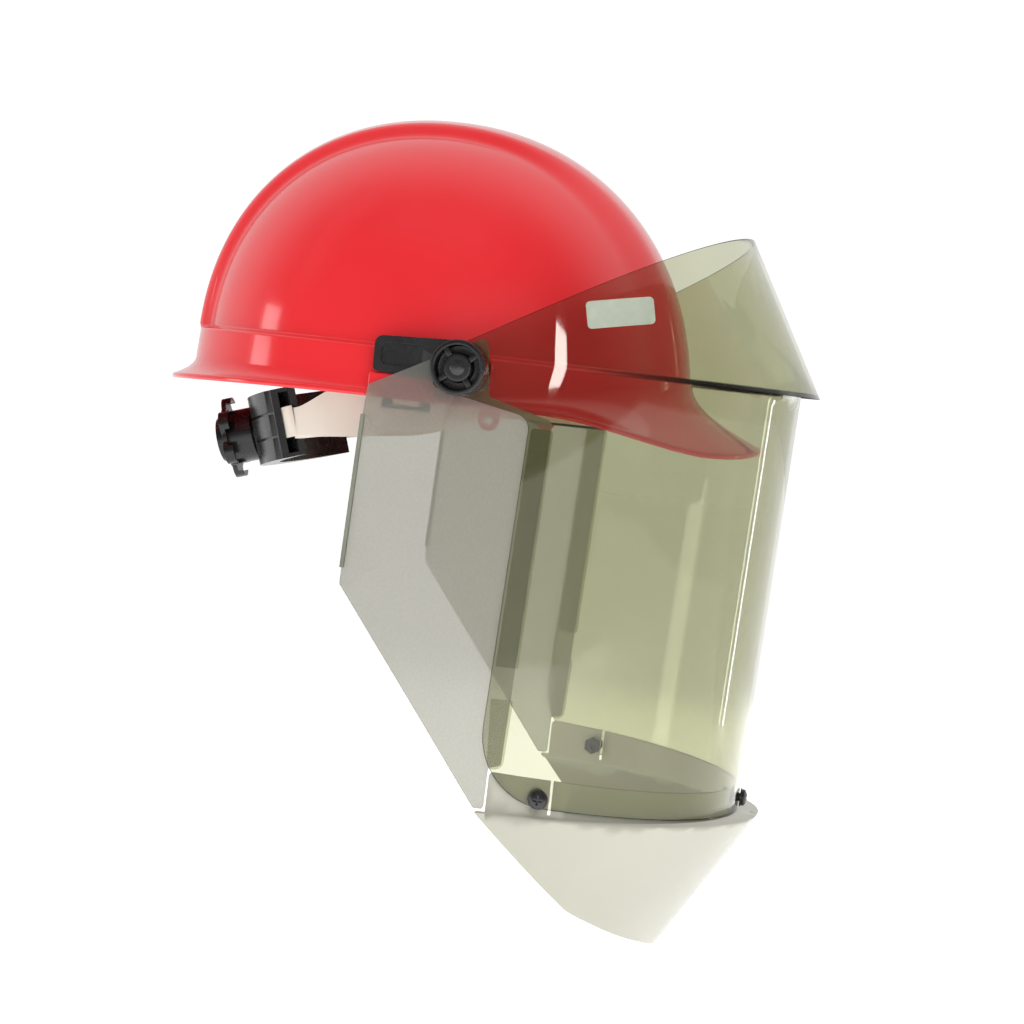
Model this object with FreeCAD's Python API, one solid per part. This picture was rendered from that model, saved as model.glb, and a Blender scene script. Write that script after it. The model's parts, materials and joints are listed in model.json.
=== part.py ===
import FreeCAD
import Part
import math
import os

# Cap-style safety helmet with a flip-up arc-flash face shield.
# Millimetres.  +Z is up, the wearer faces -Y and the wearer's right hand is -X.
# The origin is at the middle of the shell, on the plane of its lower rim.

Vec = FreeCAD.Vector
FOLDER = "parts"

# ---- shell ---------------------------------------------------------------
WALL = 2.5                   # moulded wall of the shell
DOME_LENGTH = 119.2          # half length of the dome beside the crown ridge
DOME_WIDTH = 103.5           # half width of the dome
DOME_BASE = 10.0             # height where the dome's curve starts
DOME_RISE = 124.2            # dome height above that, beside the ridge
DOME_POWER = 2.15            # exponent of the dome's super-ellipse
DOME_LEAN = 0.045            # rearward lean of the dome, mm per mm of height
RIDGE_RISE = 5.0             # the crown ridge stands this proud
RIDGE_HALF = 32.0            # half width of the ridge
BELT_HEIGHT = 24.0           # top of the wider lower band
BAND_LENGTH = 125.2          # half length of the band at the rim
BAND_WIDTH = 108.4           # half width of the band at the rim
BAND_DRAFT = 1.3             # how far the band narrows from rim to belt
BRIM_SIDE = 3.4              # brim width at the sides
BRIM_REAR = 10.0             # brim width at the back
PEAK_REACH = 36.5            # peak width at the front
PEAK_DROOP = 11.5            # drop of the peak's edge
REAR_DROOP = 3.0
PEAK_ARCH = 3.7              # the peak's middle arches above its corners
RIDGE_SOFT = 20.0            # width of the ridge's rounded flanks
SHELL_COLUMNS = 28
DOME_LIFTS = (88.0, 84, 76, 68, 59, 50, 41, 32, 24, 17, 12, 8.5)
BRIM_STATIONS = (0.0, 0.25, 0.45, 0.65, 0.83, 1.0)

# ---- accessory pocket, adapter and pivot ------------------------------------
PIVOT_Y = -27.5
PIVOT_Z = 17.5
POCKET_FACE = 112.2          # outer face of the pocket moulded on the band
SLOT_INNER = 109.0           # the adapter's blade fills the slot from here
SLOT_OUTER = 110.8
ADAPTER_FACE = 112.4         # outer face of the adapter plate
STUD_RADIUS = 3.0
RUNNING_GAP = 0.06           # radial clearance of a turning fit
BUSH_RADIUS = 5.5
EYELET_Y = -40.3
EYELET_Z = -4.9
EYELET_HOLE = 2.0
EYELET_INNER = 100.6
EYELET_OUTER = 103.1

# ---- face shield ---------------------------------------------------------------
LENS_HALF = 116.5            # half width of the window under its crease, outside
FLARE_HALF = 117.0           # half width of its flared top
LENS_DEPTH = 118.5           # depth of its half-elliptical front, outside
LENS_WALL = 2.0
LENS_CENTRE_Y = -59.5        # centre of the half ellipse at the crease
LENS_LEAN = 0.035            # the window leans back towards the chin
CREASE_Z = 22.5              # height of the ledge under the flared top
FLARE_DEPTH = 128.0          # depth of the flared top just above the ledge
FLARE_TAPER = 0.555          # loss of that depth per mm of height
FLARE_TOP = 104.0
LENS_BOTTOM = -183.5
STRIP_INSET = 2.05           # layers inside the window, from its outer face
STRIP_WALL = 0.3
GUARD_INSET = 2.4
GUARD_WALL = 1.0

# ---- chin guard -------------------------------------------------------------------
CHIN_INSET = 2.1
CHIN_WALL = 1.5
CHIN_LEDGE_Z = -184.0        # upper face of the ledge under the window
CHIN_RIM_DEPTH = 129.0
CHIN_RIM_HALF = 119.5
CHIN_BOTTOM = -256.0
CHIN_BOTTOM_DEPTH = 85.0
CHIN_BOTTOM_HALF = 90.0
SCREW_RADIUS = 2.0
SIDE_SCREW_Y = -85.0
SIDE_SCREW_Z = -175.0
FRONT_SCREW_Z = -177.3

# ---- tension knobs -------------------------------------------------------------------
KNOB_RADIUS = 12.8
KNOB_BACK = 117.9
KNOB_HEIGHT = 12.5
KNOB_RIBS = 4

# ---- suspension ------------------------------------------------------------------------
BAND_CENTRE_Y = -7.0         # middle of the headband's oval
HEAD_LENGTH = 92.0           # half length of the oval
HEAD_WIDTH = 79.0            # half width of the oval
HEADBAND_WALL = 1.6
HEADBAND_TALL = 30.0
HEADBAND_Z = 12.0            # middle height at the brow
HEADBAND_DROP = 34.0         # how far it falls towards the nape
STRAP_WIDTH = 17.0
STRAP_WALL = 1.2
STRAP_TOP = 98.0
STRAP_INSET = 9.75          # the straps run this far inside the band
STRAP_GAP = 1.5             # between the two straps where they cross
KEY_ANGLES = (("front", 41.0), ("rear", 137.0))

# ---- ratchet, in its own frame: across X, up along V, rearward along U --------------------
RATCHET_Y = 86.0
RATCHET_Z = -24.3
RATCHET_PITCH = 17.6         # the axis points this far below level
RATCHET_BEND = 70.0          # bend radius of the housing round the nape
HOUSING_HALF = 51.0
HOUSING_TALL = 17.0
RACK_TALL = 7.5
RACK_WALL = 1.2
PINION_RADIUS = 4.4
PINION_TEETH = 10
DRUM_RADIUS = 13.5
LOBE_RADIUS = 20.2
LOBES = 6


# ---- helpers --------------------------------------------------------------------------------

def ease(value):
    """Smooth step from 0 to 1."""
    value = min(max(value, 0.0), 1.0)
    return value * value * (3.0 - 2.0 * value)


def mix(low, high, weight):
    return low + (high - low) * weight


def mirrored(shape):
    return shape.mirror(Vec(0, 0, 0), Vec(1, 0, 0))


def rod(radius, x_from, x_to, y, z):
    """Cylinder along X."""
    low, high = sorted((x_from, x_to))
    return Part.makeCylinder(radius, high - low, Vec(low, y, z), Vec(1, 0, 0))


def tube(outer, inner, x_from, x_to, y, z):
    low, high = sorted((x_from, x_to))
    return rod(outer, low, high, y, z).cut(rod(inner, low - 1, high + 1, y, z))


def block(x_range, y_range, z_range):
    sizes = [abs(r[1] - r[0]) for r in (x_range, y_range, z_range)]
    return Part.makeBox(*sizes, Vec(min(x_range), min(y_range), min(z_range)))


def rounded_wire(corners, place):
    """Closed outline through (a, b, radius) corners; place(a, b) gives the point in space."""
    edges = []
    ends = []
    count = len(corners)
    for i, (a, b, radius) in enumerate(corners):
        before = corners[i - 1]
        after = corners[(i + 1) % count]
        to_before = Vec(before[0] - a, before[1] - b, 0).normalize()
        to_after = Vec(after[0] - a, after[1] - b, 0).normalize()
        half = to_before.getAngle(to_after) / 2
        reach = radius / math.tan(half)
        bisector = (to_before + to_after).normalize()
        corner = Vec(a, b, 0)
        middle = corner + bisector * (radius / math.sin(half) - radius)
        ends.append((corner + to_before * reach, middle, corner + to_after * reach, radius))
    for i, (start, middle, end, radius) in enumerate(ends):
        if radius > 0:
            arc = Part.Arc(place(start.x, start.y), place(middle.x, middle.y), place(end.x, end.y))
            edges.append(arc.toShape())
        following = ends[(i + 1) % count][0]
        if (following - end).Length > 1e-6:
            edges.append(Part.makeLine(place(end.x, end.y), place(following.x, following.y)))
    return Part.Wire(edges)


def side_slab(corners, x_from=-160.0, x_to=160.0):
    """Prism along X from a side outline of (y, z, radius) corners."""
    wire = rounded_wire(corners, lambda y, z: Vec(x_from, y, z))
    return Part.Face(wire).extrude(Vec(x_to - x_from, 0, 0))


def d_wire(half_width, depth, centre_y, z, back_y):
    """Level D outline: a half ellipse towards -Y with straight sides back to back_y."""
    unit = Part.Arc(Vec(-1, 0, 0), Vec(0, -1, 0), Vec(1, 0, 0)).toShape()
    place = FreeCAD.Matrix()
    place.A11 = half_width
    place.A22 = depth
    place.A24 = centre_y
    place.A34 = z
    bow = unit.transformGeometry(place)
    left = Part.makeLine(Vec(half_width, centre_y, z), Vec(half_width, back_y, z))
    back = Part.makeLine(Vec(half_width, back_y, z), Vec(-half_width, back_y, z))
    right = Part.makeLine(Vec(-half_width, back_y, z), Vec(-half_width, centre_y, z))
    return Part.Wire([bow, left, back, right])


def lens_centre(z):
    return LENS_CENTRE_Y + LENS_LEAN * (CREASE_Z - z)


BACK_Y = 40.0                # the D outlines are open slabs behind this


def lens_column(inset, low, high, top_centre=None):
    """Upright D column inset from the outer face of the window's lower part."""
    centres = (lens_centre(low), lens_centre(high) if top_centre is None else top_centre)
    sections = []
    for z, centre in zip((low, high), centres):
        sections.append(d_wire(LENS_HALF - inset, LENS_DEPTH - inset, centre, z, BACK_Y))
    return Part.makeLoft(sections, True, True)


def layer(inset, wall, low=-200.0, high=60.0):
    """A curved layer that follows the window, like a sheet laid inside it."""
    inner = lens_column(inset + wall, low - 1, high + 1)
    gap = block((-80, 80), (BACK_Y - 10, BACK_Y + 10), (low - 1, high + 1))
    return lens_column(inset, low, high).cut(inner).cut(gap)


def one_side(shape, sign):
    """Keep the half of a shape on one side of the middle plane."""
    return shape.common(block((sign * 0.1, sign * 200), (-300, 300), (-400, 300)))


def save(name, shape):
    solids = shape.Solids
    kept = solids[0] if len(solids) == 1 else Part.makeCompound(solids)
    kept.exportStep(os.path.join(FOLDER, name + ".step"))
    state = "" if kept.isValid() else "  NOT VALID"
    print("%-26s solids %d  volume %9.1f%s" % (name, len(solids), kept.Volume, state))


# ---- shell ---------------------------------------------------------------------------------

def dome_point(degrees, lift, grow):
    """Point on the dome and its ridge: degrees round from the back, lift is 90 at the top."""
    angle = math.radians(degrees)
    climb = math.radians(lift)
    power = 2.0 / DOME_POWER
    reach = math.cos(climb) ** power
    width = DOME_WIDTH + grow
    length = DOME_LENGTH + grow
    rise = DOME_RISE + grow
    x = width * reach * math.sin(angle)
    y = length * reach * math.cos(angle)
    z = rise * math.sin(climb) ** power
    normal = Vec(x / width ** 2, y / length ** 2, z / rise ** 2).normalize()
    ridge = 1.0 - ease((abs(x) - RIDGE_HALF + RIDGE_SOFT / 2) / RIDGE_SOFT)
    top = Vec(x, y + DOME_LEAN * (z + DOME_BASE), z + DOME_BASE)
    return top + normal * (RIDGE_RISE * ridge)


def wall_point(degrees, z, grow):
    """Point on the band's drafted oval wall."""
    angle = math.radians(degrees)
    inset = BAND_DRAFT * z / BELT_HEIGHT - grow
    return Vec((BAND_WIDTH - inset) * math.sin(angle), (BAND_LENGTH - inset) * math.cos(angle), z)


def peak_weight(degrees):
    """0 at the sides and back, 1 where the peak is widest; 180 is the front."""
    return ease((degrees - 95.0) / 75.0)


def brim_poles(degrees, under):
    """Four control points of the brim's upper or under line, from the wall to the lip."""
    angle = math.radians(degrees)
    front = peak_weight(degrees)
    rear = max(math.cos(angle), 0.0) ** 2
    width = BRIM_SIDE + (BRIM_REAR - BRIM_SIDE) * rear + (PEAK_REACH - BRIM_SIDE) * front
    droop = PEAK_DROOP * ease((degrees - 118.0) / 37.0) + REAR_DROOP * rear
    droop -= PEAK_ARCH * math.exp(-((180.0 - degrees) / 14.0) ** 2)
    out = Vec(math.sin(angle) / BAND_WIDTH, math.cos(angle) / BAND_LENGTH, 0).normalize()
    root = mix(8.5, 21.0, front)
    bend = mix(3.4, 7.5, front)
    lip = wall_point(degrees, WALL - droop, 0) + out * width
    knee = wall_point(degrees, mix(bend, WALL - droop, 0.30), 0) + out * (0.42 * width)
    if under:
        down = Vec(0, 0, -WALL)
        return [
            wall_point(degrees, root - WALL, -WALL),
            wall_point(degrees, mix(root, bend, 0.72) - WALL, -WALL) + out * (0.5 + 0.8 * front),
            knee + down,
            lip + down,
        ]
    return [
        wall_point(degrees, root, 0),
        wall_point(degrees, mix(root, bend, 0.72), 0) + out * (0.5 + 0.8 * front),
        knee,
        lip,
    ]


def brim_point(degrees, along, under):
    poles = brim_poles(degrees, under)
    rest = 1.0 - along
    weights = (rest ** 3, 3 * rest ** 2 * along, 3 * rest * along ** 2, along ** 3)
    total = Vec()
    for pole, weight in zip(poles, weights):
        total = total + pole * weight
    return total


def shell_rows(under):
    """Rows of points from the top of the shell to the brim's lip, over the left half."""
    grow = -WALL if under else 0.0
    rounds = [180.0 * i / SHELL_COLUMNS for i in range(SHELL_COLUMNS + 1)]
    rows = [[dome_point(d, lift, grow) for d in rounds] for lift in DOME_LIFTS]
    # The first row is level, so that a small flat cap closes the top.
    rows[0] = [Vec(point.x, point.y, rows[0][0].z) for point in rows[0]]
    belt = BELT_HEIGHT + (grow / 2)
    foot = [dome_point(d, DOME_LIFTS[-1], grow) for d in rounds]
    for weight, z in ((0.12, belt + 2.6), (0.75, belt + 0.6), (1.0, belt - 1.2)):
        row = []
        for d, low in zip(rounds, foot):
            start = Vec(low.x, low.y, z)
            row.append(start + (wall_point(d, z, grow) - start) * weight)
        rows.append(row)
    for along in BRIM_STATIONS:
        rows.append([brim_point(d, along, under) for d in rounds])
    return rows


def half_surface(rows):
    surface = Part.BSplineSurface()
    surface.interpolate(rows)
    return surface


def row_edge(rows, index):
    """Boundary edge through one end row, the same curve as the surface's own border."""
    surface = half_surface(rows)
    u_range = surface.bounds()[:2]
    return surface.uIso(u_range[index]).toShape()


def pocket(sign):
    """Raised pocket on the band that takes the adapter's blade."""
    return block((sign * 104.9, sign * POCKET_FACE), (-16, 16.5), (0.5, 11.5))


def shell():
    faces = []
    for flip in (False, True):
        crowns = []
        lips = []
        for under in (False, True):
            rows = shell_rows(under)
            face = half_surface(rows).toShape()
            crowns.append(row_edge(rows, 0))
            lips.append(row_edge(rows, 1))
            faces.append(mirrored(face) if flip else face)
        rim = Part.makeRuledSurface(lips[0], lips[1])
        faces.append(mirrored(rim) if flip else rim)
        for edge in crowns:
            ends = [v.Point for v in edge.Vertexes]
            cap = Part.Face(Part.Wire([edge, Part.makeLine(ends[1], ends[0])]))
            faces.append(mirrored(cap) if flip else cap)
    sewn = Part.makeCompound(faces)
    sewn.sewShape(0.01)
    body = Part.Solid(sewn.Shells[0])
    if body.Volume < 0:
        body.reverse()
    for sign in (-1, 1):
        body = body.fuse(pocket(sign))
        slot = block((sign * SLOT_INNER, sign * (SLOT_OUTER + 0.1)), (-14.2, 9.2), (-6, 14))
        body = body.cut(slot)
    save("shell", body)


def chinstrap_eyelets():
    """Ring tabs under the rim for a chin strap's hooks."""
    rings = []
    for sign in (-1, 1):
        span = (sign * EYELET_INNER, sign * EYELET_OUTER)
        ring = rod(5.0, *span, EYELET_Y, EYELET_Z)
        neck = block(span, (EYELET_Y - 5, EYELET_Y + 5), (EYELET_Z, -0.05))
        hole = rod(EYELET_HOLE, min(span) - 1, max(span) + 1, EYELET_Y, EYELET_Z)
        rings.append(ring.fuse(neck).cut(hole).removeSplitter())
    save("chinstrap_eyelets", Part.makeCompound(rings))


# ---- adapters and pivots ---------------------------------------------------------------------

def adapter(sign):
    """Black plate: round boss at the pivot, tail to the rear and a blade in the pocket."""
    inner = sign * (SLOT_INNER + 0.1)
    outer = sign * ADAPTER_FACE
    tail = side_slab(
        [(15.0, 28.5, 4.0), (-27.5, 30.3, 0.0), (-27.5, 12.0, 0.0), (14.5, 12.0, 2.0)],
        inner, outer)
    boss = rod(12.6, inner, outer, PIVOT_Y, PIVOT_Z)
    recess = side_slab(
        [(11.5, 25.5, 2.5), (-8.0, 26.2, 2.5), (-8.0, 15.5, 2.5), (11.0, 15.5, 2.5)],
        sign * (ADAPTER_FACE - 0.9), sign * (ADAPTER_FACE + 1))
    blade_span = (inner, sign * (SLOT_OUTER - 0.1))
    blade = block(blade_span, (-14, 9), (-4.5, 12.5))
    window = block((sign * 100, sign * 120), (-9, 4), (-2.5, 1.0))
    hole = rod(STUD_RADIUS + RUNNING_GAP, inner - sign, outer + sign, PIVOT_Y, PIVOT_Z)
    seat = rod(7.2, sign * (SLOT_INNER - 1), sign * (SLOT_INNER + 1.5), PIVOT_Y, PIVOT_Z)
    body = tail.fuse(boss).cut(recess).fuse(blade).cut(window).cut(hole).cut(seat)
    return body.removeSplitter()


def pivot_stud(sign):
    head = rod(7.0, sign * (SLOT_INNER + 0.15), sign * (SLOT_INNER + 1.45), PIVOT_Y, PIVOT_Z)
    shank = rod(STUD_RADIUS, sign * (SLOT_INNER + 0.5), sign * 127.0, PIVOT_Y, PIVOT_Z)
    return head.fuse(shank).removeSplitter()


def friction_washers():
    rings = []
    for sign in (-1, 1):
        for low, high in ((ADAPTER_FACE + 0.05, 113.05), (117.1, 117.8)):
            rings.append(tube(10.5, BUSH_RADIUS + 0.1, sign * low, sign * high, PIVOT_Y, PIVOT_Z))
    save("friction_washers", Part.makeCompound(rings))


def pivots():
    for side, sign in (("right", -1), ("left", 1)):
        save("shield_adapter_" + side, adapter(sign))
        save("pivot_stud_" + side, pivot_stud(sign))
        bush = tube(BUSH_RADIUS, STUD_RADIUS + 0.05, sign * (ADAPTER_FACE + 0.05), sign * 117.5,
                    PIVOT_Y, PIVOT_Z)
        save("pivot_bush_" + side, bush)


# ---- face shield -------------------------------------------------------------------------------

def pivot_holes():
    return rod(BUSH_RADIUS + RUNNING_GAP, -150, 150, PIVOT_Y, PIVOT_Z)


def flare_depth(z):
    return FLARE_DEPTH - FLARE_TAPER * (z - CREASE_Z)


def flare_block(inset, low, high):
    sections = []
    for z in (low, high):
        sections.append(d_wire(FLARE_HALF - inset, flare_depth(z) - inset, LENS_CENTRE_Y, z, BACK_Y))
    return Part.makeLoft(sections, True, True)


def screw_holes(radius):
    sides = rod(radius, -150, 150, SIDE_SCREW_Y, SIDE_SCREW_Z)
    front = Part.makeCylinder(radius, 60, Vec(0, -200, FRONT_SCREW_Z), Vec(0, 1, 0))
    return sides.fuse(front)


def lens_outline():
    """Side outline of the window: ear over the pivot, sloping top edge, round rear corner."""
    return side_slab([
        (-14.5, 22.2, 5.0),
        (-220.0, 138.0, 0.0),
        (-220.0, -186.1, 0.0),
        (-54.9, -178.1, 34.0),
        (-61.5, -1.6, 7.0),
        (-14.5, 7.6, 5.0),
    ])


def faceshield_window():
    low = LENS_BOTTOM - 10
    outer = lens_column(0, low, CREASE_Z).fuse(flare_block(0, CREASE_Z, FLARE_TOP + 20))
    ledge = CREASE_Z + LENS_WALL
    inner = lens_column(LENS_WALL, low - 1, ledge, LENS_CENTRE_Y)
    inner = inner.fuse(flare_block(LENS_WALL, ledge, FLARE_TOP + 21))
    body = outer.cut(inner).common(lens_outline())
    return body.cut(pivot_holes()).cut(screw_holes(SCREW_RADIUS + 0.15))


def guard_outline():
    """Frosted side panel: top at the pivot, upright rear edge, long slope to the chin."""
    return side_slab([
        (-38.0, 33.5, 3.0),
        (15.6, 5.3, 3.0),
        (16.4, -7.7, 12.0),
        (18.6, -87.6, 2.0),
        (-55.2, -182.8, 1.5),
        (-60.0, -182.8, 1.5),
        (-60.2, -163.6, 1.0),
        (-65.8, -162.0, 2.0),
        (-71.5, -2.0, 3.0),
        (-41.0, 6.0, 3.0),
    ])


def side_guard(sign):
    panel = one_side(layer(GUARD_INSET, GUARD_WALL), sign)
    return panel.common(guard_outline()).cut(pivot_holes())


def guard_trim(sign):
    """U-shaped edging on the upright rear edge of the panel."""
    low = LENS_HALF - GUARD_INSET - GUARD_WALL
    high = LENS_HALF - GUARD_INSET
    edge = [(15.5, -8.5, 0.4), (17.4, -8.5, 0.4), (19.4, -80.2, 0.4), (17.5, -80.2, 0.4)]
    body = side_slab(edge, sign * (low - 0.65), sign * (high + 0.65))
    panel = side_slab([(-50, 20, 0), (15.75, 20, 0), (18.95, -95, 0), (-50, -95, 0)],
                      sign * (low - 0.05), sign * (high + 0.05))
    return body.cut(panel)


def joint_strip(sign, corners):
    strip = one_side(layer(STRIP_INSET, STRIP_WALL), sign)
    return strip.common(side_slab(corners))


def shield_panels():
    save("faceshield_window", faceshield_window())
    upper = [(-62.3, -6.0, 2.0), (-72.6, -6.0, 2.0), (-68.8, -116.5, 1.0), (-58.5, -116.5, 1.0)]
    lower = [(-58.0, -131.5, 1.0), (-68.3, -131.5, 1.0), (-66.9, -164.0, 4.5), (-59.6, -164.0, 3.0)]
    for side, sign in (("right", -1), ("left", 1)):
        save("side_guard_" + side, side_guard(sign))
        save("guard_edge_trim_" + side, guard_trim(sign))
        save("joint_strip_upper_" + side, joint_strip(sign, upper))
        save("joint_strip_lower_" + side, joint_strip(sign, lower))


def label_plate():
    """Thin blank label on the right of the flared top."""
    outer = flare_block(-0.35, CREASE_Z + 5, 80)
    inner = flare_block(-0.05, CREASE_Z + 4, 81)
    patch = side_slab(
        [(-80.5, 54.0, 2.0), (-109.9, 60.1, 2.0), (-112.5, 47.8, 2.0), (-83.1, 41.7, 2.0)],
        -160, -40)
    save("blank_label", outer.cut(inner).common(patch))


# ---- chin guard -----------------------------------------------------------------------------------

def chin_block(inset, low_extra):
    """Tapering cup under the window; inset moves its surface inwards."""
    low = CHIN_BOTTOM - low_extra
    centre = lens_centre(CHIN_LEDGE_Z)
    span = CHIN_LEDGE_Z - CHIN_BOTTOM
    stretch = (span + low_extra) / span
    top = d_wire(CHIN_RIM_HALF - inset, CHIN_RIM_DEPTH - inset, centre, CHIN_LEDGE_Z, BACK_Y)
    half = mix(CHIN_RIM_HALF, CHIN_BOTTOM_HALF, stretch) - inset
    depth = mix(CHIN_RIM_DEPTH, CHIN_BOTTOM_DEPTH, stretch) - inset
    bottom = d_wire(half, depth, centre, low, BACK_Y)
    return Part.makeLoft([top, bottom], True, True)


def chin_guard():
    cup = chin_block(0, 10)
    hollow = chin_block(CHIN_WALL, 11)
    lid = CHIN_LEDGE_Z - CHIN_WALL
    hollow = hollow.common(block((-160, 160), (-300, 60), (-300, lid)))
    mouth = lens_column(CHIN_INSET + CHIN_WALL, CHIN_LEDGE_Z - 4, CHIN_LEDGE_Z + 2)
    cup = cup.cut(hollow).cut(mouth)
    cup = cup.common(side_slab([
        (-52.9, -180.0, 0.0),
        (-220.0, -180.0, 0.0),
        (-220.0, -262.0, 0.0),
        (-146.0, -262.0, 0.0),
        (-134.0, -248.3, 15.0),
        (-101.0, -229.3, 25.0),
    ]))
    flange = layer(CHIN_INSET, CHIN_WALL, CHIN_LEDGE_Z - CHIN_WALL, -150)
    flange = flange.common(side_slab([
        (-61.0, -190.0, 0.0),
        (-220.0, -190.0, 0.0),
        (-220.0, -177.0, 0.0),
        (-171.0, -171.5, 0.0),
        (-92.0, -166.6, 0.0),
        (-61.0, -165.2, 2.0),
    ]))
    slits = side_slab([(-89.2, -160.0, 0), (-90.6, -160.0, 0), (-90.6, -182.5, 0), (-89.2, -182.5, 0)])
    notch = block((-2.2, 2.2), (-182.3, -177.2), (-190, -180))
    body = cup.fuse(flange).cut(slits).cut(notch)
    save("chin_guard", body.cut(screw_holes(SCREW_RADIUS + 0.15)).removeSplitter())


def hexagon(across_corners, depth, bore):
    """Hexagonal nut on the Z axis, with its bore."""
    radius = across_corners / 2
    points = [Vec(radius * math.cos(math.radians(60 * i)), radius * math.sin(math.radians(60 * i)), 0)
              for i in range(7)]
    nut = Part.Face(Part.makePolygon(points)).extrude(Vec(0, 0, depth))
    return nut.cut(Part.makeCylinder(bore, depth + 2, Vec(0, 0, -1)))


def chin_screw():
    """Pan-head cross-recess screw: its head sits above Z = 0 and its shank goes down."""
    head = Part.makeSphere(6.4, Vec(0, 0, -3.6)).common(Part.makeCylinder(4.1, 4, Vec(0, 0, 0)))
    cross = Part.makeBox(4.2, 1.0, 2.0, Vec(-2.1, -0.5, 1.6))
    cross = cross.fuse(Part.makeBox(1.0, 4.2, 2.0, Vec(-0.5, -2.1, 1.6)))
    shank = Part.makeCylinder(SCREW_RADIUS, 9.5, Vec(0, 0, -9.5))
    return head.cut(cross).fuse(shank)


def chin_fasteners():
    """Three screws through the window and the chin guard's flange, with washers and nuts."""
    screws = []
    washers = []
    nuts = []
    slope = (SIDE_SCREW_Y - lens_centre(SIDE_SCREW_Z)) / LENS_DEPTH
    side_x = LENS_HALF * math.sqrt(1 - slope ** 2)
    normal_side = Vec(side_x / LENS_HALF ** 2, (SIDE_SCREW_Y - lens_centre(SIDE_SCREW_Z)) / LENS_DEPTH ** 2, 0)
    front_y = lens_centre(FRONT_SCREW_Z) - LENS_DEPTH
    seats = [
        (Vec(0, front_y, FRONT_SCREW_Z), Vec(0, -1, 0)),
        (Vec(side_x, SIDE_SCREW_Y, SIDE_SCREW_Z), Vec(normal_side.x, 0, 0)),
        (Vec(-side_x, SIDE_SCREW_Y, SIDE_SCREW_Z), Vec(-normal_side.x, 0, 0)),
    ]
    for seat, normal in seats:
        outward = normal.normalize()
        turn = FreeCAD.Rotation(Vec(0, 0, 1), outward)
        # A flat washer stands clear of the curved sheet by the sheet's rise under it.
        stand = 1.9 if abs(outward.x) > 0.5 else 0.5
        screws.append(placed(chin_screw(), seat + outward * (stand + 0.75), turn))
        ring = Part.makeCylinder(4.6, 0.7).cut(Part.makeCylinder(SCREW_RADIUS + 0.1, 2, Vec(0, 0, -0.5)))
        washers.append(placed(ring, seat + outward * stand, turn))
        nut = hexagon(9.3, 3.0, SCREW_RADIUS + 0.03)
        nuts.append(placed(nut, seat - outward * 8.2, turn))
    save("chin_screws", Part.makeCompound(screws))
    save("chin_washers", Part.makeCompound(washers))
    save("chin_nuts", Part.makeCompound(nuts))


def placed(shape, position, turn):
    copy = shape.copy()
    copy.Placement = FreeCAD.Placement(position, turn)
    return copy


# ---- tension knobs -----------------------------------------------------------------------------------

def knob_body():
    """Knob on the Z axis, back face at Z = 0: rim ring, hub and radial ribs."""
    drum = Part.makeCylinder(KNOB_RADIUS, KNOB_HEIGHT)
    drum = drum.makeFillet(1.4, [e for e in drum.Edges if abs(e.BoundBox.ZMax - KNOB_HEIGHT) < 0.01
                                 and e.BoundBox.ZLength < 0.01])
    well = Part.makeCylinder(KNOB_RADIUS - 2.4, 8.5, Vec(0, 0, 4.0))
    hub = Part.makeCylinder(6.5, 7.2, Vec(0, 0, 3.5))
    body = drum.cut(well).fuse(hub)
    for i in range(KNOB_RIBS):
        rib = Part.makeBox(KNOB_RADIUS - 6.0, 2.6, 6.4, Vec(5.2, -1.3, 3.5))
        rib.rotate(Vec(0, 0, 0), Vec(0, 0, 1), 360.0 * i / KNOB_RIBS + 38.0)
        body = body.fuse(rib)
    grips = 12
    for i in range(grips):
        angle = 2 * math.pi * i / grips
        groove = Part.makeCylinder(1.3, KNOB_HEIGHT - 3, Vec(
            (KNOB_RADIUS + 0.7) * math.cos(angle), (KNOB_RADIUS + 0.7) * math.sin(angle), 1.5))
        body = body.cut(groove)
    return body.cut(Part.makeCylinder(4.6, 30, Vec(0, 0, -1))).removeSplitter()


def tension_knobs():
    for side, sign in (("right", -1), ("left", 1)):
        turn = FreeCAD.Rotation(Vec(0, 0, 1), Vec(sign, 0, 0))
        seat = Vec(sign * KNOB_BACK, PIVOT_Y, PIVOT_Z)
        save("tension_knob_" + side, placed(knob_body(), seat, turn))
        insert = hexagon(8.6, 8.4, STUD_RADIUS + RUNNING_GAP)
        collar = Part.makeCylinder(4.55, 8.4).cut(Part.makeCylinder(4.25, 10, Vec(0, 0, -1)))
        insert = insert.common(Part.makeCylinder(4.3, 12)).fuse(collar)
        save("knob_insert_" + side, placed(insert, seat + Vec(sign * 0.3, 0, 0), turn))
        cap = Part.makeSphere(5.0, Vec(0, 0, -3.0)).common(Part.makeCylinder(3.9, 3, Vec(0, 0, 0)))
        stem = Part.makeCylinder(4.5, 1.4, Vec(0, 0, -1.4))
        cap = cap.fuse(stem).removeSplitter()
        save("knob_cap_" + side, placed(cap, seat + Vec(sign * 10.6, 0, 0), turn))


# ---- suspension ------------------------------------------------------------------------------------------

def headband_middle(degrees):
    """Point on the middle of the headband; 0 is the brow and 180 the nape."""
    angle = math.radians(degrees)
    x = HEAD_WIDTH * math.sin(angle)
    y = BAND_CENTRE_Y - HEAD_LENGTH * math.cos(angle)
    fall = ease((abs(degrees) - 60.0) / 100.0)
    return Vec(x, y, HEADBAND_Z - HEADBAND_DROP * fall)


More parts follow.
